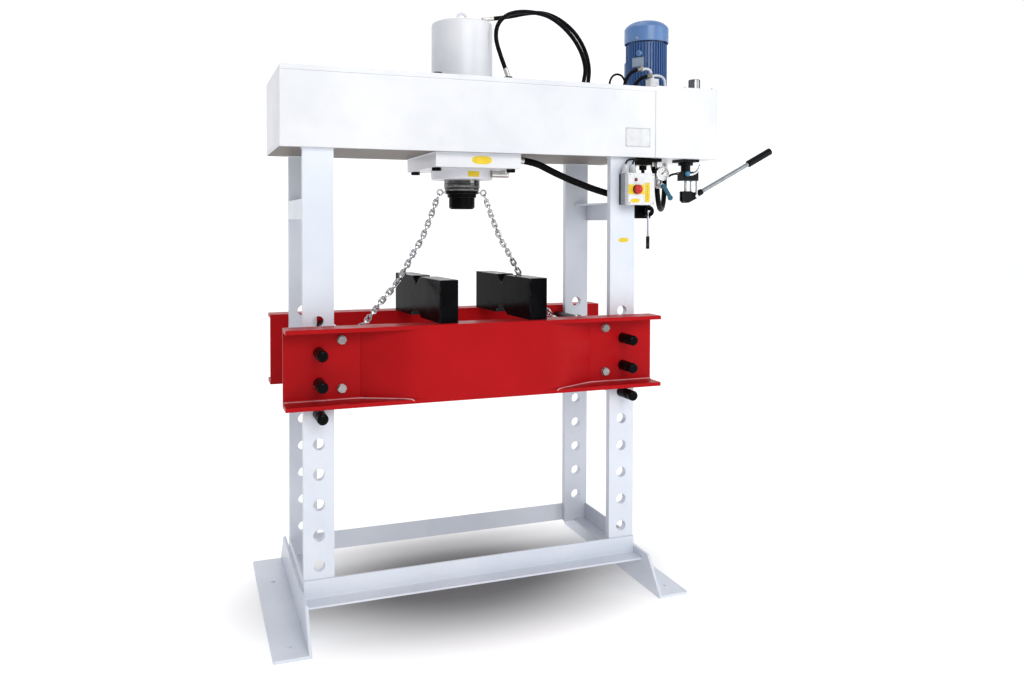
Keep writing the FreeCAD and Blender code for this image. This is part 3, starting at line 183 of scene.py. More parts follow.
# ---- Materials ----
class Nodes:
    """Short names for building one material's node tree."""

    def __init__(self, name):
        self.mat = bpy.data.materials.new(name)
        self.mat.use_nodes = True
        self.tree = self.mat.node_tree
        self.out = self.tree.nodes["Principled BSDF"]
        self.where = self.add("ShaderNodeTexCoord").outputs["Object"]

    def add(self, kind, **values):
        node = self.tree.nodes.new(kind)
        for key, value in values.items():
            setattr(node, key, value)
        return node

    def link(self, a, b):
        self.tree.links.new(a, b)

    def put(self, socket, value):
        """A constant or another node's output into a socket."""
        if isinstance(value, (int, float, tuple)):
            socket.default_value = value
        else:
            self.link(value, socket)

    def scaled(self, factors):
        node = self.add("ShaderNodeMapping")
        node.inputs["Scale"].default_value = factors
        self.link(self.where, node.inputs["Vector"])
        return node.outputs["Vector"]

    def noise(self, scale, detail=3.0, rough=0.5, where=None):
        node = self.add("ShaderNodeTexNoise")
        node.inputs["Scale"].default_value = scale
        node.inputs["Detail"].default_value = detail
        node.inputs["Roughness"].default_value = rough
        self.link(where or self.where, node.inputs["Vector"])
        return node.outputs["Fac"]

    def ramp(self, fac, low, high, start=0.0, end=1.0):
        """The input between two limits, spread to start..end."""
        node = self.add("ShaderNodeMapRange")
        node.inputs["From Min"].default_value = low
        node.inputs["From Max"].default_value = high
        node.inputs["To Min"].default_value = start
        node.inputs["To Max"].default_value = end
        self.link(fac, node.inputs["Value"])
        return node.outputs["Result"]

    def math(self, what, a, b=0.0):
        node = self.add("ShaderNodeMath", operation=what)
        self.put(node.inputs[0], a)
        self.put(node.inputs[1], b)
        return node.outputs[0]

    def mix(self, fac, a, b):
        node = self.add("ShaderNodeMix", data_type="RGBA")
        self.put(node.inputs["Factor"], fac)
        self.put(node.inputs["A"], a)
        self.put(node.inputs["B"], b)
        return node.outputs["Result"]

    def bump(self, height, strength, distance, normal=None):
        node = self.add("ShaderNodeBump")
        node.inputs["Strength"].default_value = strength
        node.inputs["Distance"].default_value = distance
        self.link(height, node.inputs["Height"])
        if normal is not None:
            self.link(normal, node.inputs["Normal"])
        return node.outputs["Normal"]

    def rounded(self, radius):
        """Softened edges, and a mask that is 1 along them."""
        bevel = self.add("ShaderNodeBevel", samples=4)
        bevel.inputs["Radius"].default_value = radius
        flat = self.add("ShaderNodeNewGeometry")
        dot = self.add("ShaderNodeVectorMath", operation="DOT_PRODUCT")
        self.link(bevel.outputs["Normal"], dot.inputs[0])
        self.link(flat.outputs["Normal"], dot.inputs[1])
        edge = self.ramp(dot.outputs["Value"], 0.98, 0.86)
        return bevel.outputs["Normal"], edge

    def beyond(self, axis, limit, soft=0.0004):
        """1 where the piece's own x, y or z passes a limit in metres, 0 before it."""
        split = self.add("ShaderNodeSeparateXYZ")
        self.link(self.where, split.inputs[0])
        return self.ramp(split.outputs[axis], limit - soft, limit + soft)

    def outside(self, centre, radius, soft=0.0004):
        """1 further than a radius from a point, both in metres."""
        away = self.add("ShaderNodeVectorMath", operation="DISTANCE")
        self.link(self.where, away.inputs[0])
        away.inputs[1].default_value = centre
        return self.ramp(away.outputs["Value"], radius - soft, radius + soft)

    def finish(self, color, rough, normal=None, metal=0.0, **extra):
        b = self.out.inputs
        self.put(b["Base Color"], color)
        self.put(b["Roughness"], rough)
        self.put(b["Metallic"], metal)
        if normal is not None:
            self.link(normal, b["Normal"])
        for key, value in extra.items():
            self.put(b[key.replace("_", " ")], value)
        return self.mat


def painted(
    name, color, shade, chip, rough=0.32, wear=0.35, edge=0.0012, coat=0.1, dirt=0.12, shine=0.35
):
    """Sprayed machine enamel: slight orange peel, cloudy tone, handling marks, chipped edges."""
    n = Nodes(name)
    soft, at_edge = n.rounded(edge)
    cloud = n.ramp(n.noise(2.6, 4.0, 0.55), 0.35, 0.68)
    tone = n.mix(cloud, (*color, 1), (*shade, 1))
    grime = n.ramp(n.noise(7.0, 8.0, 0.72), 0.56, 0.78, 0.0, dirt)
    tone = n.mix(grime, tone, tuple(0.55 * c for c in shade) + (1,))
    speck = n.ramp(n.noise(160.0, 2.0, 0.5), 0.70, 0.76, 0.0, 0.35 * wear)
    tone = n.mix(speck, tone, (*chip, 1))
    broken = n.ramp(n.noise(55.0, 5.0, 0.7), 0.47, 0.58)
    worn = n.math("MULTIPLY", n.math("MULTIPLY", at_edge, broken), wear)
    tone = n.mix(worn, tone, (*chip, 1))
    gloss = n.ramp(n.noise(11.0, 5.0, 0.7), 0.3, 0.75, rough - 0.05, rough + 0.10)
    peel = n.bump(n.noise(420.0, 2.0, 0.5), 0.10, 0.0004, soft)
    wavy = n.bump(n.noise(9.0, 2.0, 0.4), 0.10, 0.003, peel)
    return n.finish(
        tone, gloss, wavy, Coat_Weight=coat, Coat_Roughness=0.12, Specular_IOR_Level=shine
    )


def bare_metal(name, color, dark, rough, grain=(1.0, 1.0, 18.0), edge=0.0006, metal=1.0):
    """Machined or plated metal with a drawn grain and faint handling stains."""
    n = Nodes(name)
    soft, at_edge = n.rounded(edge)
    lines = n.noise(180.0, 5.0, 0.7, n.scaled(grain))
    stain = n.ramp(n.noise(22.0, 6.0, 0.7), 0.45, 0.72)
    tone = n.mix(stain, (*color, 1), (*dark, 1))
    bright = tuple(min(1, 1.3 * c) for c in color) + (1,)
    tone = n.mix(n.math("MULTIPLY", at_edge, 0.5), tone, bright)
    gloss = n.ramp(lines, 0.3, 0.7, rough * 0.75, rough * 1.35)
    normal = n.bump(lines, 0.12, 0.0003, soft)
    return n.finish(tone, gloss, normal, metal)


def black_steel(name, color=(0.0022, 0.0022, 0.0026), wear=0.5, rough=0.26):
    """Blackened or painted steel, rubbed to bare metal on its edges."""
    n = Nodes(name)
    soft, at_edge = n.rounded(0.0016)
    cloud = n.ramp(n.noise(18.0, 6.0, 0.7), 0.35, 0.7)
    tone = n.mix(cloud, (*color, 1), tuple(1.7 * c for c in color) + (1,))
    scratch = n.ramp(n.noise(60.0, 8.0, 0.8, n.scaled((1.0, 0.25, 2.4))), 0.62, 0.70)
    rub = n.math("MULTIPLY", at_edge, n.ramp(n.noise(70.0, 5.0, 0.7), 0.42, 0.58))
    bare = n.math("MULTIPLY", n.math("MAXIMUM", rub, n.math("MULTIPLY", scratch, 0.07)), wear)
    tone = n.mix(bare, tone, (0.30, 0.27, 0.24, 1))
    gloss = n.ramp(cloud, 0.0, 1.0, rough, rough + 0.16)
    normal = n.bump(n.noise(300.0, 4.0, 0.6), 0.16, 0.0005, soft)
    return n.finish(
        tone, gloss, normal, n.math("MULTIPLY", bare, 0.9), Specular_IOR_Level=0.05
    )


def split_finish(name, mask, first, second, edge=0.0008):
    """Two finishes on one piece, each (color, roughness, metallic); mask(n) is 1 for second."""
    n = Nodes(name)
    soft, at_edge = n.rounded(edge)
    which = mask(n)
    tone = n.mix(which, (*first[0], 1), (*second[0], 1))
    stain = n.ramp(n.noise(34.0, 6.0, 0.7), 0.46, 0.74, 0.0, 0.35)
    tone = n.mix(stain, tone, tuple(0.3 * c for c in second[0]) + (1,))
    rub = n.math("MULTIPLY", at_edge, n.ramp(n.noise(80.0, 5.0, 0.7), 0.42, 0.58, 0.0, 0.3))
    tone = n.mix(rub, tone, (0.20, 0.19, 0.18, 1))
    grain = n.ramp(n.noise(150.0, 4.0, 0.6), 0.3, 0.7, -0.05, 0.07)
    gloss = n.math("ADD", n.ramp(which, 0.0, 1.0, first[1], second[1]), grain)
    normal = n.bump(n.noise(330.0, 3.0, 0.6), 0.12, 0.0004, soft)
    metal = n.ramp(which, 0.0, 1.0, first[2], second[2])
    return n.finish(tone, gloss, normal, metal, Specular_IOR_Level=0.14)


def gloss_black(name):
    """Thick glossy black enamel on rough-sawn steel, knocked off along its edges."""
    n = Nodes(name)
    soft, at_edge = n.rounded(0.0045)
    cloud = n.ramp(n.noise(9.0, 5.0, 0.6), 0.35, 0.7)
    tone = n.mix(cloud, (0.002, 0.002, 0.0025, 1), (0.006, 0.006, 0.007, 1))
    ragged = n.ramp(n.noise(120.0, 6.0, 0.8, n.scaled((1.0, 1.0, 0.35))), 0.50, 0.56)
    bare = n.math("MULTIPLY", at_edge, ragged)
    tone = n.mix(bare, tone, (0.42, 0.41, 0.38, 1))
    nick = n.ramp(n.noise(48.0, 7.0, 0.8), 0.70, 0.73, 0.0, 0.5)
    tone = n.mix(nick, tone, (0.03, 0.028, 0.026, 1))
    gloss = n.ramp(n.noise(14.0, 5.0, 0.7), 0.3, 0.75, 0.12, 0.30)
    ripple = n.bump(n.noise(16.0, 3.0, 0.5), 0.14, 0.004, soft)
    normal = n.bump(n.noise(260.0, 3.0, 0.6), 0.05, 0.0004, ripple)
    return n.finish(tone, gloss, normal, n.math("MULTIPLY", bare, 0.8), Specular_IOR_Level=0.02)


def plastic(name, color, rough=0.4, shine=0.5):
    """Moulded plastic or vinyl, a little scuffed."""
    n = Nodes(name)
    soft, at_edge = n.rounded(0.0008)
    cloud = n.ramp(n.noise(40.0, 3.0, 0.5), 0.3, 0.7)
    tone = n.mix(cloud, (*color, 1), tuple(0.88 * c for c in color) + (1,))
    scuff = n.ramp(n.noise(90.0, 7.0, 0.75), 0.6, 0.72, 0.0, 0.16)
    tone = n.mix(scuff, tone, tuple(0.5 * c + 0.32 * shine * (c + 0.1) for c in color) + (1,))
    gloss = n.ramp(n.noise(120.0, 4.0, 0.6), 0.3, 0.7, rough - 0.05, rough + 0.1)
    normal = n.bump(n.noise(600.0, 2.0, 0.5), 0.14, 0.0003, soft)
    return n.finish(tone, gloss, normal, Specular_IOR_Level=shine)


def hose_rubber(name):
    """Wrapped rubber hose: fine diagonal cloth impression, slightly dusty."""
    n = Nodes(name)
    cloth = n.add("ShaderNodeTexWave", wave_type="BANDS", bands_direction="DIAGONAL")
    cloth.inputs["Scale"].default_value = 90.0
    cloth.inputs["Distortion"].default_value = 0.6
    n.link(n.where, cloth.inputs["Vector"])
    dust = n.ramp(n.noise(26.0, 5.0, 0.7), 0.45, 0.75)
    tone = n.mix(dust, (0.002, 0.002, 0.0025, 1), (0.008, 0.008, 0.0085, 1))
    gloss = n.ramp(n.noise(60.0, 4.0, 0.6), 0.3, 0.7, 0.3, 0.5)
    normal = n.bump(cloth.outputs["Fac"], 0.25, 0.0004)
    return n.finish(tone, gloss, normal, Specular_IOR_Level=0.06)


WHITE = painted(
    "white_enamel", (0.80, 0.81, 0.83), (0.70, 0.715, 0.745), (0.36, 0.34, 0.32), 0.34, 0.25
)
POST_WHITE = painted(
    "post_enamel", (0.74, 0.78, 0.84), (0.66, 0.705, 0.78), (0.34, 0.33, 0.32), 0.34, 0.3
)
RED = painted(
    "red_enamel", (0.43, 0.006, 0.009), (0.37, 0.005, 0.007), (0.24, 0.10, 0.09), 0.34, 0.25,
    coat=0.0, dirt=0.18, shine=0.07,
)
BLUE = painted(
    "blue_enamel", (0.075, 0.17, 0.40), (0.055, 0.13, 0.33), (0.30, 0.33, 0.38), 0.34, 0.3
)
COWL_BLUE = painted(
    "cowl_blue", (0.13, 0.25, 0.50), (0.10, 0.20, 0.42), (0.30, 0.33, 0.38), 0.3, 0.2
)
BLACK = black_steel("black_steel")
PIN_BLACK = black_steel("pin_black", (0.002, 0.002, 0.0024), 0.25, 0.14)
CHROME = bare_metal("hard_chrome", (0.80, 0.80, 0.82), (0.66, 0.66, 0.68), 0.10, (1, 1, 12))
STEEL = bare_metal("bare_steel", (0.56, 0.56, 0.58), (0.36, 0.35, 0.34), 0.32)
ZINC = bare_metal("zinc_plate", (0.70, 0.69, 0.66), (0.50, 0.48, 0.42), 0.28)
BRASS = bare_metal("brass", (0.72, 0.52, 0.24), (0.50, 0.34, 0.14), 0.28)
RUBBER = hose_rubber("hose_rubber")
WHITE_PLASTIC = plastic("white_plastic", (0.78, 0.79, 0.80), 0.35)
BLACK_PLASTIC = plastic("black_plastic", (0.006, 0.006, 0.0065), 0.36, shine=0.2)
RED_PLASTIC = plastic("red_plastic", (0.55, 0.012, 0.012), 0.28)
YELLOW = plastic("yellow_vinyl", (0.80, 0.58, 0.01), 0.38)
DIAL_WHITE = plastic("dial_white", (0.86, 0.86, 0.84), 0.3)
CHAIN_STEEL = bare_metal("chain_steel", (0.66, 0.66, 0.67), (0.32, 0.31, 0.30), 0.20, (1, 1, 1))
GLOSS_BLACK = gloss_black("gloss_black")

# finishes that change partway along a piece: (color, roughness, metallic), places in metres
BLACK_SPEC = ((0.006, 0.006, 0.0065), 0.34, 0.0)
CHROME_SPEC = ((0.82, 0.82, 0.84), 0.12, 1.0)
TIE_SPEC = ((0.36, 0.33, 0.33), 0.22, 1.0)
TIE_HALF = 0.2545
PUMP_CHROME_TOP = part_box("hand_pump_body")[1][2] - 0.0963
LEVER_MIDDLE = (1.236, -0.195, 1.804)
LEVER_ROD_HALF = 0.1435
VALVE_GRIP_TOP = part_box("valve_lever")[0][2] + 0.056
TAP_MIDDLE = (0.861, -0.252, 1.757)
TAP_STEM_R = 0.0115
UNDERSIDE_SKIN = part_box("head_bottom_plate")[0][2] + 0.0006
BOX_RIM_Y = -0.2668


def between_channels(n):
    """1 on the part of a tie rod that runs between the two channels."""
    before_rear = n.math("SUBTRACT", 1.0, n.beyond(1, TIE_HALF))
    return n.math("MULTIPLY", n.beyond(1, -TIE_HALF), before_rear)


TIE_FINISH = split_finish("tie_rods", between_channels, TIE_SPEC, BLACK_SPEC)
PUMP_FINISH = split_finish(
    "hand_pump", lambda n: n.beyond(2, PUMP_CHROME_TOP), CHROME_SPEC,
    ((0.003, 0.003, 0.0035), 0.28, 0.0),
)
LEVER_FINISH = split_finish(
    "pump_lever", lambda n: n.outside(LEVER_MIDDLE, LEVER_ROD_HALF),
    ((0.36, 0.38, 0.39), 0.34, 1.0), ((0.004, 0.004, 0.0045), 0.34, 0.0),
)
VALVE_LEVER_FINISH = split_finish(
    "valve_lever", lambda n: n.beyond(2, VALVE_GRIP_TOP), ((0.004, 0.004, 0.0045), 0.30, 0.0),
    CHROME_SPEC,
)
TAP_FINISH = split_finish(
    "shutoff_tap", lambda n: n.outside(TAP_MIDDLE, TAP_STEM_R), CHROME_SPEC,
    ((0.03, 0.11, 0.16), 0.28, 0.0),
)
# painted shade: the head's bottom face is coloured brown-grey and its edges stay white
UNDERSIDE_PAINTED_SHADE = split_finish(
    "head_underside_painted_shade", lambda n: n.beyond(2, UNDERSIDE_SKIN), ((0.17, 0.145, 0.125), 0.5, 0.0),
    ((0.78, 0.79, 0.81), 0.34, 0.0),
)
BOX_FINISH = split_finish(
    "box_back", lambda n: n.beyond(1, BOX_RIM_Y), ((0.34, 0.36, 0.37), 0.42, 0.0),
    ((0.03, 0.045, 0.07), 0.42, 0.0),
)
LAMP_RED = plastic("lamp_red", (0.32, 0.01, 0.02), 0.12)


def clear_glass(name):
    """Thin glass that hardly bends what is behind it, with a few smears."""
    n = Nodes(name)
    smear = n.ramp(n.noise(70.0, 4.0, 0.6), 0.4, 0.8, 0.02, 0.10)
    return n.finish((1, 1, 1, 1), smear, Transmission_Weight=1.0, IOR=1.1, Alpha=0.25)


GLASS = clear_glass("gauge_glass")
PIPE_WHITE = painted(
    "pipe_white", (0.74, 0.75, 0.76), (0.62, 0.64, 0.66), (0.40, 0.39, 0.37), 0.3, 0.3, shine=0.5
)
GREY_METAL = bare_metal("grey_metal", (0.34, 0.33, 0.32), (0.20, 0.19, 0.18), 0.34)
BLUE_CAP = plastic("blue_cap", (0.03, 0.19, 0.36), 0.28)
DARK_CHROME = bare_metal("dark_chrome", (0.17, 0.165, 0.16), (0.09, 0.085, 0.08), 0.09)
CASE_STEEL = bare_metal("case_steel", (0.30, 0.30, 0.31), (0.16, 0.155, 0.15), 0.16)
# pale pink paint for the bed's weld beads, a painted highlight along the flange edge
WELD_PAINTED_HIGHLIGHT = painted(
    "weld_painted_highlight", (0.74, 0.36, 0.37), (0.62, 0.22, 0.23), (0.5, 0.3, 0.3), 0.3, 0.3, shine=0.4
)
GLAND_GREY = plastic("gland_grey", (0.60, 0.62, 0.64), 0.3)
MOTOR_PLATE_EDGE = plastic("motor_plate_edge", (0.20, 0.26, 0.34), 0.35)
MOTOR_PLATE_FACE = plastic("motor_plate_face", (0.30, 0.37, 0.46), 0.3)
PLATE_EDGE = plastic("plate_edge", (0.52, 0.52, 0.53), 0.35)
PLATE_FACE = plastic("plate_face", (0.74, 0.75, 0.76), 0.3)

# each material's nodes, by the start of their names; the longest start that fits is used
BY_NODE = {
    WHITE: "head_ cylinder_ tank_ gland_",
    POST_WHITE: "foot_ base_ post_ side_",
    RED: "bed_beam bed_closing",
    BLUE: "motor_frame",
    COWL_BLUE: "motor_cowl",
    GLOSS_BLACK: "vee_",
    UNDERSIDE_PAINTED_SHADE: "head_bottom",
    TIE_FINISH: "bed_tie",
    PUMP_FINISH: "hand_pump_body",
    LEVER_FINISH: "hand_pump_lever",
    VALVE_LEVER_FINISH: "valve_lever",
    BLUE_CAP: "release_",
    TAP_FINISH: "shutoff_",
    BOX_FINISH: "control_box_back",
    BLACK: "ram_collar ram_nose frame_bolts valve_block",
    PIN_BLACK: "pin_",
    CHROME: "ram",
    CASE_STEEL: "filler_ gauge_case",
    STEEL: "ram_eyes lifting_ hand_pump_plunger hydraulic_ motor_rotor",
    ZINC: "hose_fittings",
    RUBBER: "hose_top hose_lower hose_loop hose_gauge",
    WHITE_PLASTIC: "control_box_cover",
    BLACK_PLASTIC: "gauge_needle",
    RED_PLASTIC: "emergency_",
}


def dress(obj, material):
    obj.data.materials.clear()
    obj.data.materials.append(material)


def dress_all():
    for name, obj in nodes.items():
        best = ""
        for material, starts in BY_NODE.items():
            for start in starts.split():
                if name.startswith(start) and len(start) > len(best):
                    best, look = start, material
        dress(obj, look)


dress_all()


# ---- Millimetres: shapes are drawn in them and turned to metres at the end ----
UP = (0, 0, 1)
FRONT = (0, -1, 0)


def mm(*values):
    return tuple(v / 1000 for v in values)


def box_mm(node):
    """The low and the high corner of a CAD node."""
    return [[v * 1000 for v in corner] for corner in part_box(node)]


HEAD_BOTTOM = box_mm("head_bottom_plate")[0][2]
HEAD_TOP = box_mm("head_top_plate")[1][2]
LID_TOP = box_mm("tank_lid")[1][2]
GLAND_RING = box_mm("gland_ring")
COVER = box_mm("control_box_cover")
BUTTON = box_mm("emergency_button")
COWL = box_mm("motor_cowl")
MOTOR_X = (COWL[0][0] + COWL[1][0]) / 2
MOTOR_Y = (COWL[0][1] + COWL[1][1]) / 2
COWL_R = (COWL[1][0] - COWL[0][0]) / 2


# ---- Hoses that stand for part.py's, on the same points ----
def cord(name, points, radius, material, node=None):
    """A hose, cable or bent pipe along a curve that has the points as its controls."""
    curve = bpy.data.curves.new(name, "CURVE")
    curve.dimensions = "3D"
    curve.bevel_depth = radius / 1000
    curve.bevel_resolution = 5 if node else 4
    curve.resolution_u = 10 if node else 8
    curve.use_fill_caps = True
    spline = curve.splines.new("NURBS")
    spline.points.add(len(points) - 1)
    for point, place in zip(spline.points, points):
        point.co = (*mm(*place), 1)
    spline.order_u = 3
    spline.use_endpoint_u = True
    curve.materials.append(material)
    obj = bpy.data.objects.new(name, curve)
    scene.collection.objects.link(obj)
    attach(obj, "press")
    if node:
        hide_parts(node)


TOP_OUTER = [
    (150, 10, 2505), (222, 8, 2517), (312, 6, 2543), (405, 10, 2553), (494, 20, 2526),
    (574, 35, 2474), (630, 48, 2400), (655, 58, 2320), (650, 62, 2262), (646, 62, 2226),
]
TOP_INNER = [
    (157, -122, 2262), (131, -123, 2325), (112, -122, 2388), (122, -114, 2450),
    (170, -103, 2499), (240, -88, 2522), (318, -68, 2529), (396, -48, 2524), (470, -28, 2493),
    (541, -6, 2443), (594, 14, 2380), (620, 27, 2312), (612, 32, 2258), (606, 32, 2226),
]
LOWER = [
    (232, -150, 1861), (292, -150, 1853), (360, -145, 1822), (432, -142, 1793),
    (504, -143, 1767), (576, -146, 1743), (644, -150, 1724), (700, -150, 1711),
]
LOOP = [
    (853, -192, 1848), (857, -192, 1832), (868, -192, 1802), (873, -192, 1750),
    (896, -165, 1690), (933, -119, 1656), (976, -66, 1656), (1014, -20, 1690), (1035, 7, 1750),
    (1036, 8, 1800), (1038, 10, 1848),
]
GAUGE_LINE = [
    (877, -214, 1792), (897, -213, 1794), (922, -209, 1804), (948, -203, 1815),
    (972, -198, 1818),
]
for node, points, radius, length in (
    ("hose_top_outer", TOP_OUTER, 9.5, 719),
    ("hose_top_inner", TOP_INNER, 9.5, 914),
    ("hose_lower", LOWER, 15.0, 493),
    ("hose_loop", LOOP, 12.0, 535),
    ("hose_gauge", GAUGE_LINE, 5.0, 101),
):
    cord(node + "_rubber", points, radius, RUBBER, node=node)


# ---- Mesh helpers, in millimetres ----
def piece(name, bm, materials, body="press", sharp=35.0):
    """The finished mesh as a piece that rides on a body; edges above sharp degrees crease."""
    bmesh.ops.recalc_face_normals(bm, faces=bm.faces)
    bmesh.ops.scale(bm, vec=(0.001, 0.001, 0.001), verts=bm.verts)
    mesh = bpy.data.meshes.new(name)
    bm.to_mesh(mesh)
    bm.free()
    mesh.shade_smooth()
    mesh.set_sharp_from_angle(angle=math.radians(sharp))
    if not isinstance(materials, (list, tuple)):
        materials = [materials]
    for material in materials:
        mesh.materials.append(material)
    obj = bpy.data.objects.new(name, mesh)
    scene.collection.objects.link(obj)
    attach(obj, body)
    return obj


def turns(count):
    """Angles at even steps round a full turn."""
    return [2 * math.pi * step / count for step in range(count)]


def join_rows(bm, low, high, closed=True):
    """Faces between two rows of as many points; closed rows go round."""
    count = len(low)
    return [
        bm.faces.new((low[i], low[(i + 1) % count], high[(i + 1) % count], high[i]))
        for i in range(count if closed else count - 1)
    ]


def lathe(bm, profile, base, axis=UP, steps=28, slot=0, twist=0.0):
    """A turned shape; profile holds (radius, distance along the axis). Six steps make a nut."""
    turn = Vector(UP).rotation_difference(Vector(axis)).to_matrix()
    rings = []
    for radius, height in profile:
        ring = []
        for a in turns(steps):
            across = (radius * math.cos(a + twist), radius * math.sin(a + twist), height)
            ring.append(bm.verts.new(Vector(base) + turn @ Vector(across)))
        rings.append(ring)
    faces = [bm.faces.new(rings[0]), bm.faces.new(rings[-1])]
    for low, high in zip(rings, rings[1:]):
        faces += join_rows(bm, low, high)
    for face in faces:
        face.material_index = slot


def nut(bm, flat, height, base, axis=UP, slot=0, twist=0.3):
    """A hexagon with a width across flats."""
    r = flat / math.sqrt(3)
    lathe(bm, [(r * 0.92, 0), (r, 0.12 * height), (r, 0.88 * height), (r * 0.9, height)], base,
          axis, 6, slot, twist)


def slab(bm, x, y, z, bevel=1.0, slot=0, turn=None):
    """A block between x, y and z pairs, its edges softened; turn is a matrix about its middle."""
    made = bmesh.ops.create_cube(bm, size=1.0)["verts"]
    centre = Vector(((x[0] + x[1]) / 2, (y[0] + y[1]) / 2, (z[0] + z[1]) / 2))
    size = (x[1] - x[0], y[1] - y[0], z[1] - z[0])
    bmesh.ops.scale(bm, vec=size, verts=made)
    if turn is not None:
        bmesh.ops.transform(bm, matrix=turn.to_4x4(), verts=made)
    bmesh.ops.translate(bm, vec=centre, verts=made)
    faces = dict.fromkeys(f for v in made for f in v.link_faces)
    for face in faces:
        face.material_index = slot
    if bevel:
        edges = list(dict.fromkeys(e for v in made for e in v.link_edges))
        bmesh.ops.bevel(bm, geom=edges, offset=bevel, segments=2, profile=0.7, affect="EDGES",
                        material=slot)


def sweep(bm, path, radius, sides=8, slot=0, closed=False, wobble=None):
    """A round section carried along a path of points; wobble changes its radius by point."""
    path = [Vector(p) for p in path]
    count = len(path)
    rings = []
    up = None
    for i, spot in enumerate(path):
        if closed:
            way = (path[(i + 1) % count] - path[i - 1]).normalized()
        else:
            way = (path[min(i + 1, count - 1)] - path[max(i - 1, 0)]).normalized()
        if up is None:
            up = way.orthogonal().normalized()
        up = (up - way * up.dot(way)).normalized()
        across = way.cross(up)
        r = radius * (wobble(i) if wobble else 1.0)
        ring = []
        for a in turns(sides):
            ring.append(bm.verts.new(spot + up * (r * math.cos(a)) + across * (r * math.sin(a))))
        rings.append(ring)
    pairs = list(zip(rings, rings[1:]))
    if closed:
        pairs.append((rings[-1], rings[0]))
    faces = []
    for low, high in pairs:
        faces += join_rows(bm, low, high)
    if not closed:
        faces += [bm.faces.new(rings[0]), bm.faces.new(rings[-1])]
    for face in faces:
        face.material_index = slot


FINE_STEPS = 24


def smooth_path(points, step=6.0):
    """Points at even steps along a smooth curve through the given ones."""
    points = [Vector(p) for p in points]
    padded = [2 * points[0] - points[1]] + points + [2 * points[-1] - points[-2]]
    fine = []
    for a, b, c, d in zip(padded, padded[1:], padded[2:], padded[3:]):
        for i in range(FINE_STEPS):
            t = i / FINE_STEPS
            fine.append(
                0.5 * (2 * b + (c - a) * t + (2 * a - 5 * b + 4 * c - d) * t * t
                       + (3 * b - a - 3 * c + d) * t ** 3)
            )
    fine.append(points[-1])
    out = [fine[0]]
    spare = 0.0
    for a, b in zip(fine, fine[1:]):
        run = (b - a).length
        while spare + run >= step:
            part = (step - spare) / run
            a = a + (b - a) * part
            run = (b - a).length
            spare = 0.0
            out.append(a.copy())
        spare += run
    return out


# ---- Lift chains ----
LINK_WIRE = 4.8
LINK_BEND = 9.5
LINK_STRAIGHT = 15.0
LINK_PITCH = LINK_STRAIGHT + 2 * LINK_BEND - 2 * LINK_WIRE
EYE_X = 101.0
EYE_Z = (box_mm("ram_eyes")[0][2] + box_mm("ram_eyes")[1][2]) / 2
TIE_X = 578.0
TIE_Z = 1131.0
TIE_TUBE_R = 25.0
CHAIN_SHAPE = [(173, 1541), (220, 1460), (292, 1335), (364, 1252), (436, 1162), (500, 1118)]
LINK_LEAN = (18.0, 108.0)    # degrees that every other link is turned about the chain
RING_WIRE = 4.5


def chain_link(bm, centre, way, side):
    """One welded link with its long axis along way and its flat across side."""
    path = []
    for end in (1, -1):
        for step in range(7):
            a = math.pi * (step / 6 - 0.5)
            along = end * (LINK_STRAIGHT / 2 + LINK_BEND * math.cos(a))
            across = end * LINK_BEND * math.sin(a)
            path.append(centre + way * along + side * across)
    sweep(bm, path, LINK_WIRE, 8, closed=True)


def make_chains():
    bm = bmesh.new()
    for sign in (-1, 1):
        points = [(sign * (EYE_X + 6), 0, EYE_Z - 12)]
        points += [(sign * x, 0, z) for x, z in CHAIN_SHAPE]
        points.append((sign * (TIE_X - TIE_TUBE_R - 13), 0, TIE_Z - 2))
        trail = smooth_path(points, LINK_PITCH)
        for number, (a, b) in enumerate(zip(trail, trail[1:])):
            way = (b - a).normalized()
            level = Vector((0, 1, 0))
            other = way.cross(level).normalized()
            lean = math.radians(LINK_LEAN[number % 2])
            side = level * math.cos(lean) + other * math.sin(lean)
            chain_link(bm, (a + b) / 2, way, side)
    chains = piece("lift_chain_links", bm, CHAIN_STEEL)
    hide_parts("lifting_chains")
    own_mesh(chains)
    bm = bmesh.new()
    for sign in (-1, 1):
        reach = TIE_TUBE_R + RING_WIRE + 1.0
        ring = [
            (sign * TIE_X + reach * math.cos(a), 0, TIE_Z + reach * math.sin(a)) for a in turns(28)
        ]
        sweep(bm, ring, RING_WIRE, 10, closed=True)
    piece("chain_tie_rings", bm, CHAIN_STEEL)


make_chains()


# ---- Control box: blank marks, lamp, screws and cable glands ----
GLAND_X = (660.0, 695.0)
GLAND_Y = -283.0
GLAND_TOP = box_mm("control_box_back")[1][2] + 10


def screw(bm, base, radius=4.0, recess_slot=0):
    """A pan-head screw that looks to the front, with a cross recess."""
    profile = [(radius, 0), (radius, 0.8), (radius * 0.8, 1.9), (radius * 0.3, 2.3)]
    lathe(bm, profile, base, FRONT, 16)
    turn = Vector(UP).rotation_difference(Vector(FRONT)).to_matrix()
    for angle in (0.4, 0.4 + math.pi / 2):
        bar = turn @ Matrix.Rotation(angle, 3, "Z")
        centre = Vector(base) + turn @ Vector((0, 0, 2.2))
        half = radius * 0.55
        slab(bm, (centre.x - half, centre.x + half), (centre.y - 0.4, centre.y + 0.4),
             (centre.z - 0.2, centre.z + 0.2), 0, recess_slot, bar)


OVAL_POWER = 2 / 2.6    # below 1, so that an oval has fuller corners than an ellipse


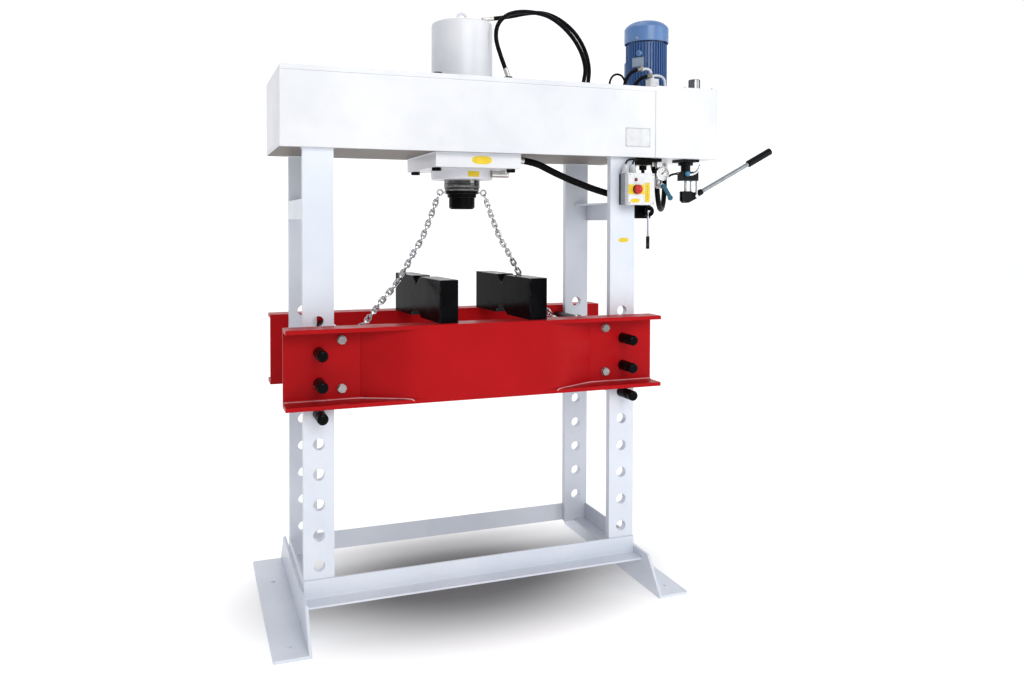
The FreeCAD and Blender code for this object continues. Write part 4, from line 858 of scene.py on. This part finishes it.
def oval(bm, centre, half_wide, half_high, out, face_y):
    """A thin raised oval on a face that looks to the front."""
    rings = []
    for y, shrink in ((face_y, 1.0), (face_y - out, 0.985)):
        ring = []
        for a in turns(40):
            ca = math.cos(a)
            sa = math.sin(a)
            x = math.copysign(abs(ca) ** OVAL_POWER, ca) * half_wide * shrink
            z = math.copysign(abs(sa) ** OVAL_POWER, sa) * half_high * shrink
            ring.append(bm.verts.new((centre[0] + x, y, centre[1] + z)))
        rings.append(ring)
    bm.faces.new(rings[1])
    join_rows(bm, rings[0], rings[1])


def make_box_details():
    x0, face, z0 = COVER[0]
    x1, _, z1 = COVER[1]
    bx = (BUTTON[0][0] + BUTTON[1][0]) / 2
    bz = (BUTTON[0][2] + BUTTON[1][2]) / 2
    bm = bmesh.new()
    slab(bm, (x0 + 1, bx + 36), (face - 0.9, face + 0.6), (bz - 21, bz + 21), 0.5)
    slab(bm, (x1 - 50, x1 - 26), (face - 1.3, face + 0.6), (z0 + 12, z1 - 42), 0.5)
    oval(bm, (x0 + 34, z0 + 18), 22, 9, 0.9, face)
    piece("control_box_marks", bm, YELLOW)
    bm = bmesh.new()
    for number in range(6):
        z = z0 + 24 + number * 11
        slab(bm, (x1 - 41, x1 - 35), (face - 1.5, face - 1.0), (z, z + 1.6), 0.2)
    lathe(bm, [(20.6, 0), (20.6, 1.5), (19, 2.6), (14, 2.6)], (bx, face, bz), FRONT, 40)
    piece("control_box_button_ring", bm, BLACK_PLASTIC)
    bm = bmesh.new()
    lamp = (bx - 5, face, bz + 42)
    lathe(bm, [(7.6, 0), (7.6, 2.0), (6.6, 3.0)], lamp, FRONT)
    lathe(bm, [(6.2, 3), (6.2, 5), (4.8, 7.0), (2.2, 8.0)], lamp, FRONT, slot=1)
    piece("control_box_lamp", bm, [BLACK_PLASTIC, LAMP_RED])
    bm = bmesh.new()
    for x in (x0 + 8, x1 - 9):
        for z in (z0 + 8, z1 - 8):
            screw(bm, (x, face, z), 3.2, 1)
    piece("control_box_screws", bm, [STEEL, BLACK])
    bm = bmesh.new()
    for x in GLAND_X:
        place = (x, GLAND_Y, GLAND_TOP - 30)
        nut(bm, 30, 9, place)
        lathe(bm, [(13.0, 9), (14.2, 11), (14.2, 23), (13.4, 24), (13.4, 25), (14.2, 26),
                   (13.6, 31), (11.0, 36), (7.5, 39.5), (5.2, 40.5)], place)
        for a in turns(12):
            rib_x = x + 14.0 * math.cos(a)
            rib_y = GLAND_Y + 14.0 * math.sin(a)
            slab(bm, (rib_x - 0.8, rib_x + 0.8), (rib_y - 0.8, rib_y + 0.8),
                 (GLAND_TOP - 18, GLAND_TOP - 8), 0.3)
    piece("control_box_glands", bm, GLAND_GREY)


make_box_details()


# ---- Pressure gauge: printed ring, ticks, numbers, bezel and glass ----
GAUGE_CASE_R = 31.5
SCALE_START = 225.0     # degrees, from the right of the dial
SCALE_SPAN = 270.0
SCALE_TICKS = 40
SCALE_NUMBERS = 5


def scale_angle(share):
    """The direction of a place on the gauge's scale, from 0 to 1."""
    return math.radians(SCALE_START - SCALE_SPAN * share)


def make_gauge():
    low, high = box_mm("gauge_case")
    x = (low[0] + high[0]) / 2
    z = high[2] - GAUGE_CASE_R
    y = low[1]
    bm = bmesh.new()
    lathe(bm, [(27.4, 0), (27.4, 0.5), (27.0, 0.8), (6, 0.8)], (x, y + 6.2, z), FRONT, 56)
    piece("gauge_dial", bm, DIAL_WHITE)
    bm = bmesh.new()
    for step in range(SCALE_TICKS + 1):
        a = scale_angle(step / SCALE_TICKS)
        long = 4.2 if step % 5 == 0 else 2.4
        wide = 0.45 if step % 5 == 0 else 0.25
        mid = 24.5 - long / 2
        cx = x + mid * math.cos(a)
        cz = z + mid * math.sin(a)
        slab(bm, (cx - long / 2, cx + long / 2), (y + 5.2, y + 5.5), (cz - wide, cz + wide), 0, 0,
             Matrix.Rotation(-a, 3, "Y"))
    arc = [scale_angle(step / 30) for step in range(31)]
    sweep(bm, [(x + 25.3 * math.cos(a), y + 5.3, z + 25.3 * math.sin(a)) for a in arc], 0.3, 5)
    piece("gauge_ticks", bm, BLACK_PLASTIC)
    for number in range(SCALE_NUMBERS):
        a = scale_angle(number / (SCALE_NUMBERS - 1))
        text = bpy.data.curves.new("gauge_number", "FONT")
        text.body = str(number * 100)
        text.size = 0.0052
        text.extrude = 0.0001
        text.align_x = "CENTER"
        text.align_y = "CENTER"
        text.materials.append(BLACK_PLASTIC)
        obj = bpy.data.objects.new(f"gauge_number_{number}", text)
        scene.collection.objects.link(obj)
        obj.location = mm(x + 16.4 * math.cos(a), y + 5.3, z + 16.4 * math.sin(a))
        obj.rotation_euler = (math.pi / 2, 0, 0)
        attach(obj, "press")
    bm = bmesh.new()
    lathe(bm, [(27.3, 5.0), (27.3, 1.0), (28.2, -1.2), (30.2, -1.6), (31.6, -0.6), (32.2, 2.0),
               (32.0, 6.0), (31.2, 8.0)], (x, y, z), (0, 1, 0), 64)
    bm.faces.ensure_lookup_table()
    bmesh.ops.delete(bm, geom=[bm.faces[0], bm.faces[1]], context="FACES_ONLY")
    piece("gauge_bezel", bm, CHROME)
    bm = bmesh.new()
    lathe(bm, [(27.2, 0), (27.2, 0.9), (26.4, 1.2)], (x, y + 1.6, z), FRONT, 56)
    piece("gauge_glass", bm, GLASS)


make_gauge()


# ---- Power unit: cowl screws, swages and guard, flange bolts, lid screws ----
def motor_spot(a, radius):
    """The x and y of a point at a distance from the motor's axis."""
    return MOTOR_X + radius * math.cos(a), MOTOR_Y + radius * math.sin(a)


def motor_ring(bm, z, radius, wire):
    """A level ring of round wire about the motor's axis."""
    sweep(bm, [(*motor_spot(a, radius), z) for a in turns(48)], wire, 6, closed=True)


def make_motor_details():
    base = COWL[0][2]
    top = COWL[1][2] - 1.0
    bm = bmesh.new()
    for step in range(4):
        a = math.radians(35 + 90 * step)
        way = (math.cos(a), math.sin(a), 0)
        place = (*motor_spot(a, COWL_R - 0.4), base + 14)
        nut(bm, 9, 4, place, way)
        lathe(bm, [(7, 0), (7, 0.8), (6, 1.0)], place, way, 20)
    piece("cowl_screws", bm, STEEL)
    bm = bmesh.new()
    motor_ring(bm, base + 3, COWL_R - 0.6, 1.5)
    motor_ring(bm, base + 66, COWL_R - 0.9, 1.2)
    piece("cowl_swages", bm, COWL_BLUE)
    bm = bmesh.new()
    for radius in (18, 27, 36, 45, 54):
        motor_ring(bm, top, radius, 0.9)
    for a in turns(8):
        sweep(bm, [(*motor_spot(a, r), top) for r in (12, 56)], 0.9, 6)
    piece("cowl_guard", bm, BLACK)
    bm = bmesh.new()
    for step in range(4):
        a = math.radians(45 + 90 * step)
        place = (*motor_spot(a, 95), LID_TOP + 14)
        nut(bm, 13, 8, place)
        lathe(bm, [(9, 0), (9, 1.2), (8, 1.5)], place, steps=20)
        lathe(bm, [(4, 8), (4, 11), (3, 12)], place, steps=14)
    piece("motor_flange_bolts", bm, STEEL)


def make_lid_details():
    bm = bmesh.new()
    for x in (835, 975, 1118):
        for y in (-258, 258):
            place = (x, y, LID_TOP)
            lathe(bm, [(8, 0), (8, 1.2), (7.4, 1.4)], place, steps=20)
            lathe(bm, [(6, 1), (6, 6.2), (5.4, 7)], place, steps=20)
            lathe(bm, [(3.4, 7.0), (3.2, 7.05)], place, steps=6)
    piece("tank_lid_screws", bm, STEEL)


make_motor_details()
make_lid_details()


# ---- Cables, hoses and pipes that part.py leaves to this script, and their fittings ----
for side, gland_x, bend_x, end_x, length in (
    ("left", GLAND_X[0], 720, 746, 120), ("right", GLAND_X[1], 745, 766, 109),
):
    cord("box_cable_" + side, [
        (gland_x, GLAND_Y, GLAND_TOP - 1), (gland_x, GLAND_Y, GLAND_TOP + 28),
        (bend_x, -246, GLAND_TOP + 37), (end_x, -230, GLAND_TOP + 37),
    ], 4.0, BLACK_PLASTIC)

# pressure hoses and pipes between the head and the motor's lid
cord("lid_hose_left", [
    (698, -60, HEAD_TOP), (698, -60, 2220), (700, -60, 2250), (716, -60, 2275), (740, -61, 2283),
    (764, -61, 2275), (780, -60, 2250), (782, -60, 2220), (782, -60, HEAD_TOP),
], 5.0, RUBBER)
cord("lid_hose_middle", [
    (768, -72, HEAD_TOP), (768, -72, 2226), (778, -72, 2258), (798, -73, 2286), (818, -74, 2300),
    (838, -74, 2306),
], 8.0, RUBBER)
cord("lid_hose_right", [
    (812, -74, HEAD_TOP), (813, -74, 2214), (826, -75, 2240), (846, -76, 2260), (866, -76, 2272),
    (888, -76, 2279),
], 8.0, RUBBER)
cord("lid_pipe_middle", [
    (914, -72, LID_TOP + 2), (914, -72, 2262), (913, -72, 2292), (905, -73, 2308),
    (890, -74, 2313), (874, -74, 2313), (860, -74, 2310),
], 6.0, PIPE_WHITE)
cord("lid_pipe_right", [
    (984, -76, LID_TOP + 2), (984, -76, 2240), (981, -76, 2266), (968, -76, 2280),
    (948, -76, 2285), (930, -76, 2284), (908, -76, 2281),
], 6.0, PIPE_WHITE)


def crimp(bm, start, end, radius):
    """A swaged hose ferrule with its rings, and a hexagon at its outer end."""
    start = Vector(start)
    way = Vector(end) - start
    long = way.length
    way.normalize()
    lathe(bm, [
        (radius, 0), (radius + 1.6, 1.5), (radius + 1.6, 0.16 * long), (radius + 0.6, 0.2 * long),
        (radius + 0.6, 0.26 * long), (radius + 1.6, 0.3 * long), (radius + 1.6, 0.46 * long),
        (radius + 0.6, 0.5 * long), (radius + 0.6, 0.56 * long), (radius + 1.4, 0.6 * long),
        (radius + 0.2, 0.68 * long), (radius - 1.5, 0.72 * long),
    ], start, way, 24)
    nut(bm, 2 * radius + 5, 0.3 * long, start + way * (0.7 * long), way, 1)


def make_lid_fittings():
    bm = bmesh.new()
    crimp(bm, (835, -74, 2305), (868, -74, 2312), 8.6)
    crimp(bm, (885, -76, 2278), (914, -76, 2282), 8.6)
    piece("lid_hose_ferrules", bm, [GREY_METAL, ZINC])
    bm = bmesh.new()
    slab(bm, (892, 936), (-100, -54), (LID_TOP, LID_TOP + 66), 3.0)
    nut(bm, 22, 12, (914, -72, LID_TOP + 65))
    nut(bm, 22, 12, (984, -76, LID_TOP))
    for x, y in ((698, -60), (782, -60), (768, -73), (812, -73)):
        nut(bm, 24, 9, (x, y, HEAD_TOP))
    for z in (16, 46):
        for x in (902, 926):
            screw(bm, (x, -100, LID_TOP + z))
    piece("lid_manifold", bm, PIPE_WHITE)


RETURN_PIPE = (797.0, -196.0)


def make_valve_fittings():
    """The control valve's second pipe with its union, the block above it, and screws."""
    low = box_mm("valve_block")[0]
    top = low[2] + 118
    bm = bmesh.new()
    lathe(bm, [(8, 0), (8, HEAD_BOTTOM - top)], (*RETURN_PIPE, top), steps=20)
    lathe(bm, [(15, 0), (17, 2), (17, 34), (14, 38)], (*RETURN_PIPE, HEAD_BOTTOM - 52))
    nut(bm, 30, 16, (*RETURN_PIPE, top))
    nut(bm, 34, 14, (*RETURN_PIPE, HEAD_BOTTOM - 14.2), twist=0.1)
    nut(bm, 36, 17, (*RETURN_PIPE, HEAD_BOTTOM - 32), slot=1, twist=0.5)
    piece("valve_return_pipe", bm, [BLACK, BRASS])
    bm = bmesh.new()
    slab(bm, (738, 872), (-236, -152), (HEAD_BOTTOM - 15, HEAD_BOTTOM), 2.5)
    slab(bm, (744, 826), (-230, -168), (HEAD_BOTTOM - 30, HEAD_BOTTOM - 15), 3.0)
    for x in (748, 788, 846, 864):
        screw(bm, (x, -236, HEAD_BOTTOM - 7.5), 3.0)
    piece("head_manifold", bm, BLACK)
    front = low[1] + 32
    bm = bmesh.new()
    for x in (low[0] + 10, low[0] + 34):
        for z in (low[2] + 70, low[2] + 106):
            lathe(bm, [(5.5, 0), (5.5, 5), (5, 5.6)], (x, front, z), FRONT, 20)
            lathe(bm, [(2.8, 5.6), (2.7, 5.7)], (x, front, z), FRONT, 6)
    piece("valve_block_screws", bm, STEEL)


make_lid_fittings()
make_valve_fittings()


# ---- Release lever of the hand pump: a blue cap on a bent silver rod ----
KNOB = (1008.0, 1816.0)
GRIP_RIBS = 14


def make_release_lever():
    x, z = KNOB
    y = box_mm("release_knob")[1][1]
    bm = bmesh.new()
    lathe(bm, [(9, 0), (11, 1), (11.4, 5), (11.4, 11), (10.2, 14), (7, 15.4), (2, 15.8)],
          (x, y, z), FRONT, 32)
    for a in turns(GRIP_RIBS):
        rib_x = x + 11.2 * math.cos(a)
        rib_z = z + 11.2 * math.sin(a)
        slab(bm, (rib_x - 0.7, rib_x + 0.7), (y - 12, y - 2), (rib_z - 0.7, rib_z + 0.7), 0.2)
    rod_path = smooth_path([
        (x + 6, y - 8, z - 3), (x + 24, y - 8, z - 1), (x + 44, y - 8, z + 9),
        (x + 60, y - 8, z + 26), (x + 68, y - 8, z + 45),
    ], 4.0)
    count = len(rod_path)
    sweep(bm, rod_path, 6.4, 14, 1, wobble=lambda i: 1.0 if i < count - 2 else 0.75)
    made = piece("release_lever", bm, [BLUE_CAP, CHROME], "release_knob", 50.0)
    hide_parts("release_knob")


make_release_lever()


# ---- Plain plates and patches, left without any lettering, and the ram's rings ----
def bent_strip(bm, low, high, section, centre, slot=0):
    """A section of (radius, height) points carried round a centre between two angles."""
    rows = []
    for step in range(9):
        a = math.radians(low + (high - low) * step / 8)
        rows.append([
            bm.verts.new((centre[0] + r * math.cos(a), centre[1] + r * math.sin(a), z))
            for r, z in section
        ])
    for near, far in zip(rows, rows[1:]):
        for face in join_rows(bm, far, near, closed=False):
            face.material_index = slot
    return rows


def make_plates():
    front = box_mm("head_front_plate")[0][1]
    bm = bmesh.new()
    slab(bm, (665, 789), (front - 0.8, front + 0.4), (1926, 2010), 0.4, 0)
    slab(bm, (669, 785), (front - 1.0, front - 0.6), (1930, 2006), 0.2, 1)
    for x in (671.5, 782.5):
        for z in (1932.5, 2003.5):
            lathe(bm, [(2.3, 0), (2.1, 1.0), (1.2, 1.6)], (x, front - 0.8, z), FRONT, 16, 2)
    piece("head_data_plate", bm, [PLATE_EDGE, PLATE_FACE, STEEL])
    mount = box_mm("cylinder_mount")[0]
    bm = bmesh.new()
    oval(bm, (12, mount[2] + 31), 44, 17, 0.7, mount[1])
    piece("mount_patch", bm, YELLOW)
    gland_z = GLAND_RING[0][2]
    radius = (GLAND_RING[1][0] - GLAND_RING[0][0]) / 2
    section = [
        (radius + out, gland_z + z) for out, z in ((0.1, 9), (0.8, 9), (0.8, 33), (0.1, 33))
    ]
    bm = bmesh.new()
    bent_strip(bm, -97, -75, section, (0, 0))
    piece("gland_patch", bm, YELLOW)
    bm = bmesh.new()
    oval(bm, (673, 1516), 25, 9.5, 0.7, box_mm("post_front_right")[0][1])
    piece("post_patch", bm, YELLOW)


def make_motor_plate():
    """A bare rating plate on the fins, and the lifting lug above it."""
    bm = bmesh.new()
    for low, high, z0, z1, outer, slot in (
        (-162, -126, 2336, 2382, 101.5, 0), (-160, -128, 2339, 2379, 102.2, 1),
    ):
        section = [(97, z0), (outer, z0), (outer, z1), (97, z1)]
        rows = bent_strip(bm, low, high, section, (MOTOR_X, MOTOR_Y), slot)
        for row in (rows[0], rows[-1]):
            bm.faces.new(row)
    a = math.radians(-140)
    way = Vector((math.cos(a), math.sin(a), 0))
    spot = Vector((MOTOR_X, MOTOR_Y, 2400)) + way * 96
    lathe(bm, [(13, 0), (14, 1), (14, 8), (11, 12), (7, 14), (3, 14.6)], spot, way, 28, 2)
    nut(bm, 12, 5, spot + way * 14, way, 3)
    piece("motor_plate", bm, [MOTOR_PLATE_EDGE, MOTOR_PLATE_FACE, COWL_BLUE, BLUE])


def make_ram_rings():
    """Polished wiper sleeve between the gland and the collar, with a groove and a dark seal."""
    low = box_mm("ram_collar")[1][2]
    tall = GLAND_RING[0][2] - low
    bm = bmesh.new()
    lathe(bm, [
        (70, 0), (76, 0.4), (77, 1.6), (77, 0.22 * tall), (75.6, 0.24 * tall), (75.6, 0.27 * tall),
        (79, 0.30 * tall), (79.6, 0.32 * tall), (79.6, 0.62 * tall), (78.6, 0.64 * tall),
        (78.6, 0.67 * tall), (79.6, 0.69 * tall), (79.6, tall - 3.5), (78.4, tall - 2.4),
        (70, tall - 2.2),
    ], (0, 0, low), UP, 96)
    for seal in (
        [(76.5, 0.245), (77.9, 0.25), (77.9, 0.265), (76.5, 0.27)],
        [(78.8, 0.645), (79.3, 0.65), (79.3, 0.66), (78.8, 0.665)],
    ):
        lathe(bm, [(radius, share * tall) for radius, share in seal], (0, 0, low), UP, 96, 1)
    piece("ram_sleeve", bm, [DARK_CHROME, BLACK], "ram", 40.0)


make_plates()
make_motor_plate()
make_ram_rings()


# ---- Weld beads: painted over on the frame, pale pink on the bed as a painted highlight ----
def bead(bm, start, end, radius=4.0):
    """A straight weld bead; its ripple is seeded from where it starts."""
    start = Vector(start)
    end = Vector(end)
    count = max(4, int((end - start).length / 5))
    path = [start + (end - start) * (i / count) for i in range(count + 1)]
    rng = random.Random(int(abs(start.x) * 7 + abs(start.y) * 3 + start.z))
    sizes = [0.86 + 0.28 * rng.random() + (0.16 if i % 2 else 0.0) for i in range(count + 1)]
    sweep(bm, path, radius, 6, wobble=lambda i: sizes[i])


def make_welds():
    """Beads round the tops of the posts and round the cylinder mount."""
    z = HEAD_BOTTOM
    bm = bmesh.new()
    for sx in (-1, 1):
        for sy in (-1, 1):
            for y in (245.0, 215.0):
                bead(bm, (sx * 607.0, sy * y, z), (sx * 727.0, sy * y, z))
            for x in (607.0, 727.0):
                bead(bm, (sx * x, sy * 245.0, z), (sx * x, sy * 215.0, z))
    for sy in (-1, 1):
        bead(bm, (-186, sy * 232, z), (186, sy * 232, z), 4.5)
    for sx in (-1, 1):
        bead(bm, (sx * 187, -230, z), (sx * 187, 230, z), 4.5)
    piece("frame_welds", bm, POST_WHITE, sharp=60.0)


def make_bed_welds():
    """Weld bead where the web and the closing plate meet the lower flange, in a pale pink that is
    a painted highlight along that edge.
    """
    front = box_mm("bed_beam_front")[0]
    tip = -front[1]
    z = front[2] + 19
    bm = bmesh.new()
    for sx in (-1, 1):
        for sy in (-1, 1):
            path = smooth_path([(sx * x, sy * y, h) for x, y, h in (
                (803, 257.5, z), (660, 257.5, z), (520, 257.5, z), (480, 268, z), (400, 305, z),
                (330, tip - 7, z), (312, tip + 0.4, z - 4), (306, tip + 0.6, z - 12),
            )], 6.0)
            sweep(bm, path, 2.8, 6)
    piece("bed_welds", bm, WELD_PAINTED_HIGHLIGHT, sharp=60.0)


make_welds()
make_bed_welds()
